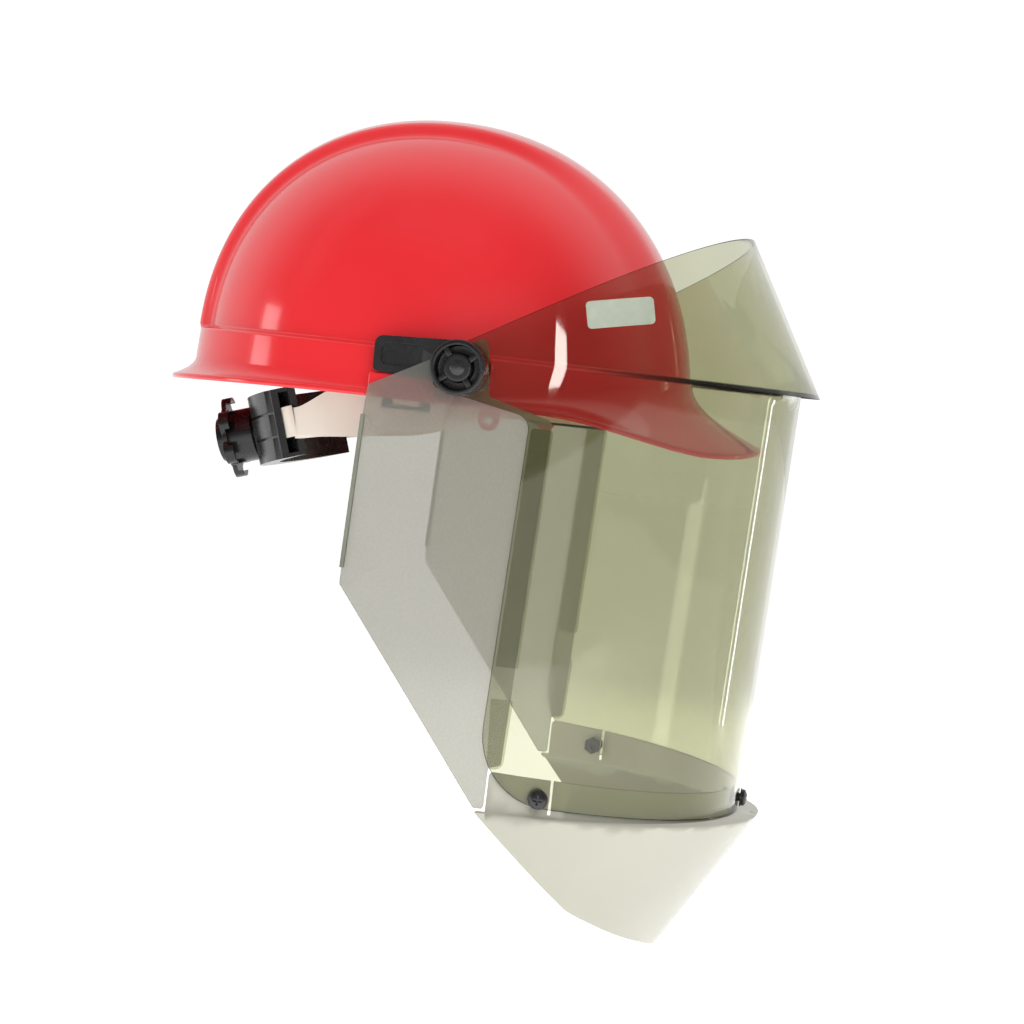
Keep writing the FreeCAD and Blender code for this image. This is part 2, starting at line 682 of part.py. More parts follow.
def headband_section(degrees):
    """Upright thin section; it leans to the ratchet's pitch and narrows at the nape."""
    angle = math.radians(degrees)
    out = Vec(math.sin(angle) / HEAD_WIDTH, -math.cos(angle) / HEAD_LENGTH, 0).normalize()
    fall = ease((abs(degrees) - 60.0) / 85.0)
    lean = math.radians(RATCHET_PITCH) * fall * max(out.y, 0.0)
    up = Vec(0, math.sin(lean), math.cos(lean))
    half = mix(HEADBAND_TALL, 2 * RACK_TALL, ease((abs(degrees) - 105.0) / 33.0)) / 2
    middle = headband_middle(degrees)
    step = out * (HEADBAND_WALL / 2)
    corners = [middle + step + up * half, middle - step + up * half,
               middle - step - up * half, middle + step - up * half]
    return Part.makePolygon(corners + corners[:1])


def ratchet_point(x, u, v):
    """Point from the ratchet's own frame."""
    pitch = math.radians(RATCHET_PITCH)
    y = RATCHET_Y + u * math.cos(pitch) + v * math.sin(pitch)
    z = RATCHET_Z - u * math.sin(pitch) + v * math.cos(pitch)
    return Vec(x, y, z)


def ratchet_turn():
    """Turns a shape on +Z so that its axis points along the ratchet's rearward axis."""
    return FreeCAD.Rotation(Vec(1, 0, 0), -90.0 - RATCHET_PITCH)


def on_axis(shape, u):
    """Place a shape made on +Z on the ratchet's axis, with its Z = 0 at u."""
    return placed(shape, ratchet_point(0, u, 0), ratchet_turn())


def bent_plate(low, high, half_x, v_low, v_high, x_shift=0.0):
    """Plate bent round the nape between two radii, measured from the bend's centre."""
    def rim(radius, x):
        return ratchet_point(x, math.sqrt(radius ** 2 - x ** 2) - RATCHET_BEND, v_low)

    left = x_shift - half_x
    right = x_shift + half_x
    outer = Part.Arc(rim(high, left), rim(high, (left + right) / 2), rim(high, right))
    inner = Part.Arc(rim(low, right), rim(low, (left + right) / 2), rim(low, left))
    wire = Part.Wire([
        outer.toShape(),
        Part.makeLine(rim(high, right), rim(low, right)),
        inner.toShape(),
        Part.makeLine(rim(low, left), rim(high, left)),
    ])
    rise = ratchet_point(0, 0, v_high) - ratchet_point(0, 0, v_low)
    return Part.Face(wire).extrude(rise)


def rack(sign, low):
    """Toothed end of the headband inside the housing; its slot clears the pinion."""
    centre = sign * 7.5
    strap = bent_plate(low, low + RACK_WALL, 47.0, -RACK_TALL, RACK_TALL, centre)
    slot = bent_plate(low - 1, low + RACK_WALL + 1, 30.0, -5.6, 5.6, -sign * 2.0)
    strap = strap.cut(slot)
    tooth_pitch = 2.9
    edge = sign * 5.6
    for i in range(-9, 10):
        x = -sign * 2.0 + i * tooth_pitch
        tip = edge - sign * 0.9
        tooth = bent_plate(low, low + RACK_WALL, 0.55, min(edge, tip) - 0.01, max(edge, tip) + 0.01, x)
        strap = strap.fuse(tooth)
    return strap


def headband():
    reach = 138.0
    steps = 23
    sections = [headband_section(-reach + 2 * reach * i / steps) for i in range(steps + 1)]
    body = Part.makeLoft(sections, True, False)
    body = body.fuse(rack(1, 68.7)).fuse(rack(-1, 70.2))
    save("headband", body.removeSplitter())


def brow_pad():
    """Foam pad round the front of the headband."""
    def section(degrees, inset, wall, half):
        angle = math.radians(degrees)
        out = Vec(math.sin(angle) / HEAD_WIDTH, -math.cos(angle) / HEAD_LENGTH, 0).normalize()
        middle = headband_middle(degrees) - out * inset
        rise = Vec(0, 0, half)
        corners = [middle + rise, middle - out * wall + rise, middle - out * wall - rise, middle - rise]
        return Part.makePolygon(corners + corners[:1])

    sections = [section(d, 1.0, 4.5, 17.0) for d in range(-60, 61, 15)]
    save("brow_pad", Part.makeLoft(sections, True, False))


def key_frame(degrees):
    """Outward direction and the headband point behind one suspension key."""
    angle = math.radians(degrees)
    band = headband_middle(degrees)
    out = Vec(math.sin(angle) / HEAD_WIDTH, -math.cos(angle) / HEAD_LENGTH, 0).normalize()
    return band, out


def wall_distance(point, out):
    """Distance from a point to the inside of the band, along a level direction."""
    a = BAND_WIDTH - WALL - 1.0
    b = BAND_LENGTH - WALL - 1.0
    k2 = (out.x / a) ** 2 + (out.y / b) ** 2
    k1 = 2 * (point.x * out.x / a ** 2 + point.y * out.y / b ** 2)
    k0 = (point.x / a) ** 2 + (point.y / b) ** 2 - 1
    return (-k1 + math.sqrt(k1 ** 2 - 4 * k2 * k0)) / (2 * k2)


def suspension_key(degrees):
    """Hanger between the shell's wall and the headband, with a loop for the strap."""
    band, out = key_frame(degrees)
    reach = wall_distance(band, out)
    height = 10.0

    def bar(near, far, half_wide, low, high):
        box = Part.makeBox(far - near, 2 * half_wide, high - low, Vec(near, -half_wide, low))
        heading = FreeCAD.Rotation(Vec(0, 0, 1), math.degrees(math.atan2(out.y, out.x)))
        return placed(box, Vec(band.x, band.y, height), heading)

    blade = bar(reach - 4.2, reach - 1.6, 11.0, -8.0, 12.0)
    arm = bar(HEADBAND_WALL / 2 + 0.4, reach - 3.0, 5.0, -6.0, -1.5)
    loop = bar(reach - 14.4, reach - 3.0, 12.5, -6.0, -3.0)
    slot = bar(reach - 12.0, reach - 7.5, 10.2, -8.0, 0.0)
    hook = bar(HEADBAND_WALL / 2 + 0.4, HEADBAND_WALL / 2 + 2.4, 7.0, -10.0, 8.0)
    return blade.fuse(loop).cut(slot).fuse(hook).fuse(arm.cut(slot)).removeSplitter()


def crown_strap(front_degrees, rear_degrees, lift):
    """Webbing arch from one front key to the opposite rear key, over the head."""
    ends = []
    for degrees in (front_degrees, rear_degrees):
        band, out = key_frame(degrees)
        ends.append(Vec(band.x, band.y, 0) + out * (wall_distance(band, out) - STRAP_INSET))
    along = ends[1] - ends[0]
    middle = (ends[0] + ends[1]) * 0.5
    half = along.Length / 2
    foot = 2.0
    rise = STRAP_TOP + lift - foot

    def arch(grow):
        unit = Part.Arc(Vec(-1, 0, 0), Vec(0, 0, 1), Vec(1, 0, 0)).toShape()
        scale = FreeCAD.Matrix()
        scale.A11 = half + grow
        scale.A33 = rise + grow
        return unit.transformGeometry(scale)

    outer = arch(STRAP_WALL / 2)
    inner = arch(-STRAP_WALL / 2)
    tips = [half + STRAP_WALL / 2, half - STRAP_WALL / 2]
    wire = Part.Wire([
        outer,
        Part.makeLine(Vec(tips[0], 0, 0), Vec(tips[1], 0, 0)),
        inner,
        Part.makeLine(Vec(-tips[1], 0, 0), Vec(-tips[0], 0, 0)),
    ])
    web = Part.Face(wire).extrude(Vec(0, STRAP_WIDTH, 0))
    heading = FreeCAD.Rotation(Vec(0, 0, 1), math.degrees(math.atan2(along.y, along.x)))
    edge = heading.multVec(Vec(0, -STRAP_WIDTH / 2, 0))
    return placed(web, Vec(middle.x, middle.y, foot) + edge, heading)


def suspension():
    headband()
    brow_pad()
    for name, degrees in KEY_ANGLES:
        save("suspension_key_%s_left" % name, suspension_key(degrees))
        save("suspension_key_%s_right" % name, mirrored(suspension_key(degrees)))
    front = KEY_ANGLES[0][1]
    rear = KEY_ANGLES[1][1]
    save("crown_strap_lower", crown_strap(front, -rear, 0.0))
    save("crown_strap_upper", crown_strap(-front, rear, STRAP_WALL + STRAP_GAP))


# ---- ratchet -----------------------------------------------------------------------------------------------

def gear(radius, root, teeth, depth):
    """Small straight-toothed pinion on +Z."""
    body = Part.makeCylinder(root, depth)
    for i in range(teeth):
        tooth = Part.makeBox(radius - root + 0.5, 0.9, depth, Vec(root - 0.5, -0.45, 0))
        tooth.rotate(Vec(0, 0, 0), Vec(0, 0, 1), 360.0 * i / teeth)
        body = body.fuse(tooth)
    return body.removeSplitter()


def ratchet_housing():
    """Inner half of the housing, next to the head."""
    plate = bent_plate(66.0, 68.2, HOUSING_HALF, -HOUSING_TALL, HOUSING_TALL)
    well = on_axis(Part.makeCylinder(3.06, 12), -8.0)
    save("ratchet_housing", plate.cut(well))


def ratchet_cover():
    """Outer half: three stepped ribs, top and bottom walls and a turret for the knob."""
    plate = bent_plate(71.9, 74.4, HOUSING_HALF, -HOUSING_TALL, HOUSING_TALL)
    walls = bent_plate(68.3, 72.2, HOUSING_HALF, HOUSING_TALL - 2.0, HOUSING_TALL)
    walls = walls.fuse(bent_plate(68.3, 72.2, HOUSING_HALF, -HOUSING_TALL, -HOUSING_TALL + 2.0))
    body = plate.fuse(walls)
    for low, high in ((-HOUSING_TALL, -6.4), (-5.2, 5.2), (6.4, HOUSING_TALL)):
        body = body.fuse(bent_plate(74.0, 76.0, HOUSING_HALF - 1.5, low, high))
    turret = on_axis(Part.makeCylinder(11.5, 6.6), 2.0)
    body = body.fuse(turret)
    chamber = on_axis(Part.makeCylinder(9.6, 5.0), 4.8)
    bore = on_axis(Part.makeCylinder(3.06, 20), -1.0)
    body = body.cut(chamber).cut(bore)
    notches = 24
    for i in range(notches):
        cut = Part.makeBox(1.0, 1.1, 4.0, Vec(9.2, -0.55, 0))
        cut.rotate(Vec(0, 0, 0), Vec(0, 0, 1), 360.0 * i / notches)
        body = body.cut(on_axis(cut, 5.8))
    save("ratchet_cover", body.removeSplitter())


def ratchet_drive():
    """Pinion on its spindle, pawl spring, hand knob and its screw, all turning together."""
    pinion = gear(PINION_RADIUS, 3.3, PINION_TEETH, 3.0)
    spindle = Part.makeCylinder(3.0, 12.6, Vec(0, 0, -2.4))
    square = Part.makeBox(3.6, 3.6, 3.6, Vec(-1.8, -1.8, 9.8))
    save("ratchet_pinion", on_axis(pinion.fuse(spindle).fuse(square), -1.3))

    pawl = Part.makeCylinder(6.0, 1.6).cut(Part.makeCylinder(3.2, 4, Vec(0, 0, -1)))
    for i in range(3):
        arm = Part.makeBox(7.0, 1.0, 1.6, Vec(0, 5.0, 0))
        tip = Part.makeCylinder(0.55, 1.6, Vec(6.9, 5.3, 0))
        finger = arm.fuse(tip)
        finger.rotate(Vec(0, 0, 0), Vec(0, 0, 1), 120.0 * i)
        pawl = pawl.fuse(finger)
    save("ratchet_pawl_spring", on_axis(pawl, 5.9))

    drum = Part.makeCylinder(DRUM_RADIUS, 13.0).cut(Part.makeCylinder(12.0, 4.6, Vec(0, 0, -1)))
    collar = Part.makeCylinder(16.0, 2.4, Vec(0, 0, 12.0))
    body = drum.fuse(collar)
    for i in range(LOBES):
        lobe = Part.makeCylinder(6.2, 2.4, Vec(LOBE_RADIUS - 6.2, 0, 12.0))
        lip = Part.makeCylinder(6.2, 5.0, Vec(LOBE_RADIUS - 6.2, 0, 9.4))
        lip = lip.cut(Part.makeCylinder(LOBE_RADIUS - 2.2, 8, Vec(0, 0, 8)))
        lobe = lobe.fuse(lip)
        lobe.rotate(Vec(0, 0, 0), Vec(0, 0, 1), 360.0 * i / LOBES + 30.0)
        body = body.fuse(lobe)
    boss = Part.makeCylinder(11.0, 4.6, Vec(0, 0, 14.0))
    recess = Part.makeCylinder(9.0, 4.0, Vec(0, 0, 16.2))
    body = body.fuse(boss).cut(recess)
    socket = Part.makeBox(3.7, 3.7, 6.0, Vec(-1.85, -1.85, 0.0))
    hole = Part.makeCylinder(1.6, 30, Vec(0, 0, 0))
    body = body.cut(socket).cut(hole)
    save("ratchet_knob", on_axis(body.removeSplitter(), 6.4))

    head = Part.makeCylinder(3.6, 1.8).cut(Part.makeBox(5.0, 0.9, 1.6, Vec(-2.5, -0.45, 0.9)))
    shank = Part.makeCylinder(1.5, 9.6, Vec(0, 0, -9.6))
    save("ratchet_knob_screw", on_axis(head.fuse(shank), 22.7))


def main():
    os.makedirs(FOLDER, exist_ok=True)
    shell()
    chinstrap_eyelets()
    pivots()
    friction_washers()
    shield_panels()
    label_plate()
    chin_guard()
    chin_fasteners()
    tension_knobs()
    suspension()
    ratchet_housing()
    ratchet_cover()
    ratchet_drive()


main()
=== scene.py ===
import json
import math

import bmesh
import bpy
import numpy as np
from mathutils import Matrix, Vector
from mathutils.bvhtree import BVHTree


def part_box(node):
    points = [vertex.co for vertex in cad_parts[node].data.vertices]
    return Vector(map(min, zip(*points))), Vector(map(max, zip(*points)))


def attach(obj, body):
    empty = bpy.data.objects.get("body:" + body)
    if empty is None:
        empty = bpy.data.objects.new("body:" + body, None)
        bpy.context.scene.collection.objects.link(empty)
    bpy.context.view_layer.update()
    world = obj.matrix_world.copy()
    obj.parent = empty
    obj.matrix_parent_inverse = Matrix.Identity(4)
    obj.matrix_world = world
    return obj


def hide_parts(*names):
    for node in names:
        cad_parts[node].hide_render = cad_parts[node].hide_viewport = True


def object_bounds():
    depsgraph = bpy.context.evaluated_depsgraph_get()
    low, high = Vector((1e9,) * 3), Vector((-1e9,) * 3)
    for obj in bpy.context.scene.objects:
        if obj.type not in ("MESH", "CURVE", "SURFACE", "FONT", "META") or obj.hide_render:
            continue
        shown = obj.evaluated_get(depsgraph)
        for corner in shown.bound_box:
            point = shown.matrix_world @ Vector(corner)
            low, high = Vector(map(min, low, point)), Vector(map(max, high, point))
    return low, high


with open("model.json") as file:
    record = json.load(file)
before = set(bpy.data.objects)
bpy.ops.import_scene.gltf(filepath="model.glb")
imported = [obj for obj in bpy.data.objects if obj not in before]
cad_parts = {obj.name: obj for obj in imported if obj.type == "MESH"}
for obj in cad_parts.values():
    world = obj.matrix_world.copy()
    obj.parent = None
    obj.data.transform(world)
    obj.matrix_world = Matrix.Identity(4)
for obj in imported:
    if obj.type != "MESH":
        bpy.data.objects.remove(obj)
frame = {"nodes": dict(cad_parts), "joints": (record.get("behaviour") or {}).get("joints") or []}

# Cap-style safety helmet with a flip-up arc-flash face shield, in metres.
# +Z is up, the wearer faces -Y and the wearer's right hand is -X.

MM = 0.001
CAD_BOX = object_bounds()
SIDES = (("right", -1), ("left", 1))
PIVOT = Vector(frame["joints"][0]["pos_m"])
WELD = 0.001 * MM


# ---- small tools -----------------------------------------------------------------------------

def ease(value):
    value = np.clip(value, 0.0, 1.0)
    return value * value * (3.0 - 2.0 * value)


def mix(low, high, weight):
    return low + (high - low) * weight


def add_object(name, mesh, material=None):
    piece = bpy.data.objects.new(name, mesh)
    bpy.context.collection.objects.link(piece)
    if material is not None:
        mesh.materials.clear()
        mesh.materials.append(material)
    return piece


def smooth(mesh, degrees=35.0):
    """Smooth shading with creases at edges sharper than the angle."""
    mesh.polygons.foreach_set("use_smooth", [True] * len(mesh.polygons))
    mesh.set_sharp_from_angle(angle=math.radians(degrees))


def mesh_from(name, points, faces, degrees=35.0):
    mesh = bpy.data.meshes.new(name)
    mesh.from_pydata([tuple(p) for p in points], [], faces)
    mesh.validate()
    mesh.update()
    smooth(mesh, degrees)
    return mesh


def mesh_from_bmesh(name, work, degrees=35.0):
    mesh = bpy.data.meshes.new(name)
    work.to_mesh(mesh)
    work.free()
    smooth(mesh, degrees)
    return mesh


def cad_copy(node, name, material, body, degrees=35.0, bevel=0.0):
    """A welded, smoothly shaded copy of a CAD node that stands for it, with rounded edges when a bevel is
    given.
    """
    work = bmesh.new()
    work.from_mesh(frame["nodes"][node].data)
    bmesh.ops.remove_doubles(work, verts=work.verts, dist=WELD)
    if bevel:
        flat = math.radians(1.5)
        bmesh.ops.dissolve_limit(work, angle_limit=flat, verts=work.verts, edges=work.edges)
    piece = add_object(name, mesh_from_bmesh(name, work, degrees), material)
    if bevel:
        modifier = piece.modifiers.new("edges", "BEVEL")
        modifier.width = bevel
        modifier.segments = 2
        modifier.limit_method = "ANGLE"
        modifier.angle_limit = math.radians(40)
        modifier.use_clamp_overlap = True
        modifier.harden_normals = True
    finish_piece(piece, body, node)
    return piece


def finish_piece(piece, body, *nodes):
    """Ride on the body and replace the nodes."""
    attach(piece, body)
    if nodes:
        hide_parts(*nodes)


# ---- materials -------------------------------------------------------------------------------

class Paint:
    """A node material with its shader; helpers add patterns in object space."""

    def __init__(self, name):
        self.material = bpy.data.materials.new(name)
        self.material.use_nodes = True
        self.tree = self.material.node_tree
        self.shader = self.tree.nodes["Principled BSDF"]
        self.output = self.tree.nodes["Material Output"]
        self.place = self.tree.nodes.new("ShaderNodeTexCoord").outputs["Object"]

    def node(self, kind, **values):
        made = self.tree.nodes.new(kind)
        for key, value in values.items():
            if key in made.inputs:
                made.inputs[key].default_value = value
            else:
                setattr(made, key, value)
        return made

    def link(self, source, target):
        self.tree.links.new(source, target)

    def noise(self, scale, detail=3.0, stretch=(1, 1, 1)):
        mapping = self.node("ShaderNodeMapping")
        mapping.inputs["Scale"].default_value = stretch
        self.link(self.place, mapping.inputs["Vector"])
        made = self.node("ShaderNodeTexNoise", Scale=scale, Detail=detail)
        self.link(mapping.outputs[0], made.inputs["Vector"])
        return made.outputs["Fac"]

    def ramp(self, source, low, high, stops=(0.3, 0.7)):
        made = self.node("ShaderNodeValToRGB")
        made.color_ramp.elements[0].position = stops[0]
        made.color_ramp.elements[1].position = stops[1]
        made.color_ramp.elements[0].color = (*low, 1)
        made.color_ramp.elements[1].color = (*high, 1)
        self.link(source, made.inputs["Fac"])
        return made.outputs["Color"]

    def colour(self, low, high, scale, detail=3.0):
        self.link(self.ramp(self.noise(scale, detail), low, high), self.shader.inputs["Base Color"])

    def roughness(self, low, high, scale, detail=4.0):
        span = self.node("ShaderNodeMapRange")
        span.inputs["To Min"].default_value = low
        span.inputs["To Max"].default_value = high
        self.link(self.noise(scale, detail), span.inputs["Value"])
        self.link(span.outputs[0], self.shader.inputs["Roughness"])

    def bump(self, source, strength, depth):
        made = self.node("ShaderNodeBump", Strength=strength, Distance=depth)
        self.link(source, made.inputs["Height"])
        self.link(made.outputs[0], self.shader.inputs["Normal"])

    def grazing(self, straight):
        """Mirror share of a thin sheet's face, the same from either side."""
        facing = self.node("ShaderNodeLayerWeight", Blend=0.5)
        steep = self.node("ShaderNodeMath", operation="POWER")
        steep.inputs[1].default_value = 5.0
        self.link(facing.outputs["Facing"], steep.inputs[0])
        share = self.node("ShaderNodeMapRange")
        share.inputs["To Min"].default_value = straight
        share.inputs["To Max"].default_value = 1.0
        self.link(steep.outputs[0], share.inputs["Value"])
        return share.outputs[0]

    def set(self, **values):
        for key, value in values.items():
            self.shader.inputs[key.replace("_", " ")].default_value = value


def glossy_red():
    """Injection-moulded shell: deep gloss with a faint flow waviness."""
    paint = Paint("shell_red")
    paint.colour((0.66, 0.020, 0.026), (0.71, 0.024, 0.030), 9.0)
    paint.roughness(0.10, 0.20, 60.0)
    paint.bump(paint.noise(28.0, 2.0), 0.05, 0.0006)
    paint.set(IOR=1.5, Coat_Weight=0.35, Coat_Roughness=0.06)
    return paint.material


def moulded_black(name, low, high, rough):
    """Dark moulded plastic with a fine spark-eroded grain."""
    paint = Paint(name)
    paint.colour((low,) * 3, (high, high, high * 1.05), 90.0)
    paint.roughness(rough[0], rough[1], 220.0)
    paint.bump(paint.noise(1400.0, 1.0), 0.03, 0.0002)
    paint.set(IOR=1.5)
    return paint.material


def clear_sheet(name, tint, gloss=1.0, haze=None, fold=False):
    """Thin tinted sheet: each face passes the tint and mirrors more at a slant.

    gloss scales the mirror share, haze is a diffuse veil as (colour, share), milky or dark, and the
    dark veil of the window's ledge is painted shade; fold paints shade as a dark line along the window's
    crease.
    """
    paint = Paint(name)
    paint.tree.nodes.remove(paint.shader)
    see = paint.node("ShaderNodeBsdfTransparent")
    cloud = paint.noise(14.0, 2.0)
    near = tuple(min(1.0, c * 1.012) for c in tint)
    through = paint.ramp(cloud, tint, near)
    # Painted shade along the window's crease.
    if fold:
        through = painted_fold_shade(paint, through)
    paint.link(through, see.inputs["Color"])
    mirror = paint.node("ShaderNodeBsdfGlossy", Roughness=0.03)
    mirror.inputs["Color"].default_value = (1, 1, 1, 1)
    ripple = paint.node("ShaderNodeBump", Strength=0.04, Distance=0.0005)
    paint.link(paint.noise(22.0, 1.0), ripple.inputs["Height"])
    paint.link(ripple.outputs[0], mirror.inputs["Normal"])
    scale = paint.node("ShaderNodeMath", operation="MULTIPLY")
    scale.inputs[1].default_value = gloss
    paint.link(paint.grazing(0.04), scale.inputs[0])
    blend = paint.node("ShaderNodeMixShader")
    paint.link(scale.outputs[0], blend.inputs[0])
    paint.link(see.outputs[0], blend.inputs[1])
    paint.link(mirror.outputs[0], blend.inputs[2])
    surface = blend.outputs[0]
    if haze is not None:
        veil = paint.node("ShaderNodeBsdfDiffuse")
        veil.inputs["Color"].default_value = (*haze[0], 1)
        top = paint.node("ShaderNodeMixShader")
        top.inputs[0].default_value = haze[1]
        paint.link(surface, top.inputs[1])
        paint.link(veil.outputs[0], top.inputs[2])
        surface = top.outputs[0]
    paint.link(surface, paint.output.inputs["Surface"])
    return paint.material


# Painted shade: the window's tint is darkened in a thin band along its crease, more towards the front,
# standing in for the shade at the bend.
FOLD_HEIGHT = 23.3 * MM
FOLD_BAND = (1.5 * MM, 0.8 * MM)        # half-height where the line starts, and where it is full
FOLD_FADE = (-85 * MM, -135 * MM)       # the line grows from none to full towards the front
FOLD_SHADE_COLOUR = (0.16, 0.16, 0.14, 1)


def painted_fold_shade(paint, colour):
    """Painted shade: darkens a sheet's tint along the window's crease, more towards the front."""
    split = paint.node("ShaderNodeSeparateXYZ")
    paint.link(paint.place, split.inputs[0])
    offset = paint.node("ShaderNodeMath", operation="SUBTRACT")
    offset.inputs[1].default_value = FOLD_HEIGHT
    paint.link(split.outputs["Z"], offset.inputs[0])
    away = paint.node("ShaderNodeMath", operation="ABSOLUTE")
    paint.link(offset.outputs[0], away.inputs[0])
    band = paint.node("ShaderNodeMapRange")
    forward = paint.node("ShaderNodeMapRange")
    for made, (start, full) in ((band, FOLD_BAND), (forward, FOLD_FADE)):
        made.inputs["From Min"].default_value = start
        made.inputs["From Max"].default_value = full
    paint.link(away.outputs[0], band.inputs["Value"])
    paint.link(split.outputs["Y"], forward.inputs["Value"])
    both = paint.node("ShaderNodeMath", operation="MULTIPLY")
    paint.link(band.outputs[0], both.inputs[0])
    paint.link(forward.outputs[0], both.inputs[1])
    blend = paint.node("ShaderNodeMix", data_type="RGBA")
    blend.inputs[7].default_value = FOLD_SHADE_COLOUR
    paint.link(both.outputs[0], blend.inputs["Factor"])
    paint.link(colour, blend.inputs[6])
    return blend.outputs[2]


def frosted_sheet():
    """Grained polypropylene panel: part clear, part milky, with a pebbled face."""
    paint = Paint("frosted_panel")
    paint.tree.nodes.remove(paint.shader)
    see = paint.node("ShaderNodeBsdfTransparent")
    see.inputs["Color"].default_value = (0.84, 0.84, 0.80, 1)
    milk = paint.node("ShaderNodeBsdfDiffuse")
    pebbles = paint.ramp(paint.noise(700.0, 2.0), (0.37, 0.37, 0.33), (0.42, 0.42, 0.378))
    paint.link(pebbles, milk.inputs["Color"])
    glow = paint.node("ShaderNodeBsdfTranslucent")
    glow.inputs["Color"].default_value = (0.46, 0.46, 0.42, 1)
    grain = paint.node("ShaderNodeBump", Strength=0.03, Distance=0.0003)
    paint.link(paint.noise(700.0, 1.0), grain.inputs["Height"])
    sheen = paint.node("ShaderNodeBsdfGlossy", Roughness=0.45)
    for lobe in (milk, glow, sheen):
        paint.link(grain.outputs[0], lobe.inputs["Normal"])
    body = paint.node("ShaderNodeMixShader")
    body.inputs[0].default_value = 0.5
    paint.link(milk.outputs[0], body.inputs[1])
    paint.link(glow.outputs[0], body.inputs[2])
    cover = paint.node("ShaderNodeMixShader")
    speckle = paint.node("ShaderNodeMapRange")
    speckle.inputs["To Min"].default_value = 0.36
    speckle.inputs["To Max"].default_value = 0.42
    paint.link(paint.noise(900.0, 2.0), speckle.inputs["Value"])
    paint.link(speckle.outputs[0], cover.inputs[0])
    paint.link(see.outputs[0], cover.inputs[1])
    paint.link(body.outputs[0], cover.inputs[2])
    top = paint.node("ShaderNodeMixShader")
    paint.link(paint.grazing(0.03), top.inputs[0])
    paint.link(cover.outputs[0], top.inputs[1])
    paint.link(sheen.outputs[0], top.inputs[2])
    paint.link(top.outputs[0], paint.output.inputs["Surface"])
    return paint.material


def chin_plastic():
    """Pale grey-green moulded sheet with a satin face."""
    paint = Paint("chin_plastic")
    paint.colour((0.45, 0.445, 0.37), (0.49, 0.485, 0.405), 12.0)
    paint.roughness(0.28, 0.42, 140.0)
    paint.bump(paint.noise(900.0, 2.0), 0.05, 0.0002)
    paint.set(IOR=1.5, Coat_Weight=0.15, Coat_Roughness=0.2)
    return paint.material


def webbing_material():
    """Ivory polyester webbing: ribs across and a finer weave along, from the strap's own UVs."""
    paint = Paint("ivory_webbing")
    uv = paint.node("ShaderNodeUVMap").outputs[0]
    ribs = paint.node("ShaderNodeTexWave", Scale=420.0, Distortion=0.6, bands_direction="X")
    ribs.inputs["Detail Scale"].default_value = 3.0
    warp = paint.node("ShaderNodeTexWave", Scale=260.0, Distortion=0.4, bands_direction="Y")
    for wave in (ribs, warp):
        paint.link(uv, wave.inputs["Vector"])
    weave = paint.node("ShaderNodeMath", operation="MULTIPLY")
    paint.link(ribs.outputs["Fac"], weave.inputs[0])
    paint.link(warp.outputs["Fac"], weave.inputs[1])
    thread = paint.ramp(weave.outputs[0], (0.42, 0.38, 0.28), (0.68, 0.63, 0.50), (0.0, 0.8))
    paint.link(thread, paint.shader.inputs["Base Color"])
    paint.bump(weave.outputs[0], 0.6, 0.0004)
    paint.set(Roughness=0.85, Sheen_Weight=0.2)
    return paint.material


def foam_cloth():
    """Black brushed cloth of the brow pad."""
    paint = Paint("brow_cloth")
    paint.colour((0.010, 0.010, 0.011), (0.030, 0.030, 0.032), 260.0, 4.0)
    paint.bump(paint.noise(1400.0, 4.0), 0.5, 0.0005)
    paint.set(Roughness=0.95, Sheen_Weight=0.4)
    return paint.material


def ivory_nylon():
    """Cream nylon of the headband, satin with a fine grain."""
    paint = Paint("ivory_nylon")
    paint.colour((0.70, 0.65, 0.56), (0.75, 0.70, 0.61), 22.0)
    paint.roughness(0.36, 0.52, 160.0)
    paint.bump(paint.noise(1200.0, 2.0), 0.06, 0.0002)
    paint.set(IOR=1.5)
    return paint.material


def grey_nylon():
    """Grey nylon of the suspension keys."""
    paint = Paint("grey_nylon")
    paint.colour((0.16, 0.16, 0.155), (0.20, 0.20, 0.19), 40.0)
    paint.roughness(0.35, 0.5, 200.0)
    paint.bump(paint.noise(1600.0, 2.0), 0.08, 0.0002)
    return paint.material


def bright_steel():
    """Plated steel of the studs and knob nuts, with turned marks."""
    paint = Paint("bright_steel")
    paint.colour((0.50, 0.50, 0.50), (0.62, 0.62, 0.61), 300.0)
    paint.roughness(0.18, 0.34, 500.0)
    paint.bump(paint.noise(900.0, 2.0, stretch=(0.05, 1, 1)), 0.12, 0.0001)
    paint.set(Metallic=1.0)
    return paint.material


def black_steel():
    """Black oxide steel of the screws, washers and nuts."""
    paint = Paint("black_steel")
    paint.colour((0.008, 0.008, 0.009), (0.020, 0.020, 0.022), 300.0)
    paint.roughness(0.22, 0.36, 500.0)
    paint.bump(paint.noise(1500.0, 2.0), 0.08, 0.0001)
    paint.set(Specular_IOR_Level=0.7)
    return paint.material


def label_film():
    """Blank silvery label stock."""
    paint = Paint("label_film")
    paint.colour((0.31, 0.34, 0.27), (0.37, 0.40, 0.32), 180.0, 4.0)
    paint.roughness(0.34, 0.5, 260.0)
    paint.bump(paint.noise(500.0, 2.0), 0.08, 0.0002)
    return paint.material


def trim_material():
    """Grey-green edging of the side guards."""
    paint = Paint("edge_trim")
    paint.colour((0.16, 0.17, 0.13), (0.21, 0.22, 0.17), 60.0)
    paint.roughness(0.3, 0.45, 200.0)
    paint.bump(paint.noise(1200.0, 2.0), 0.06, 0.0002)
    return paint.material


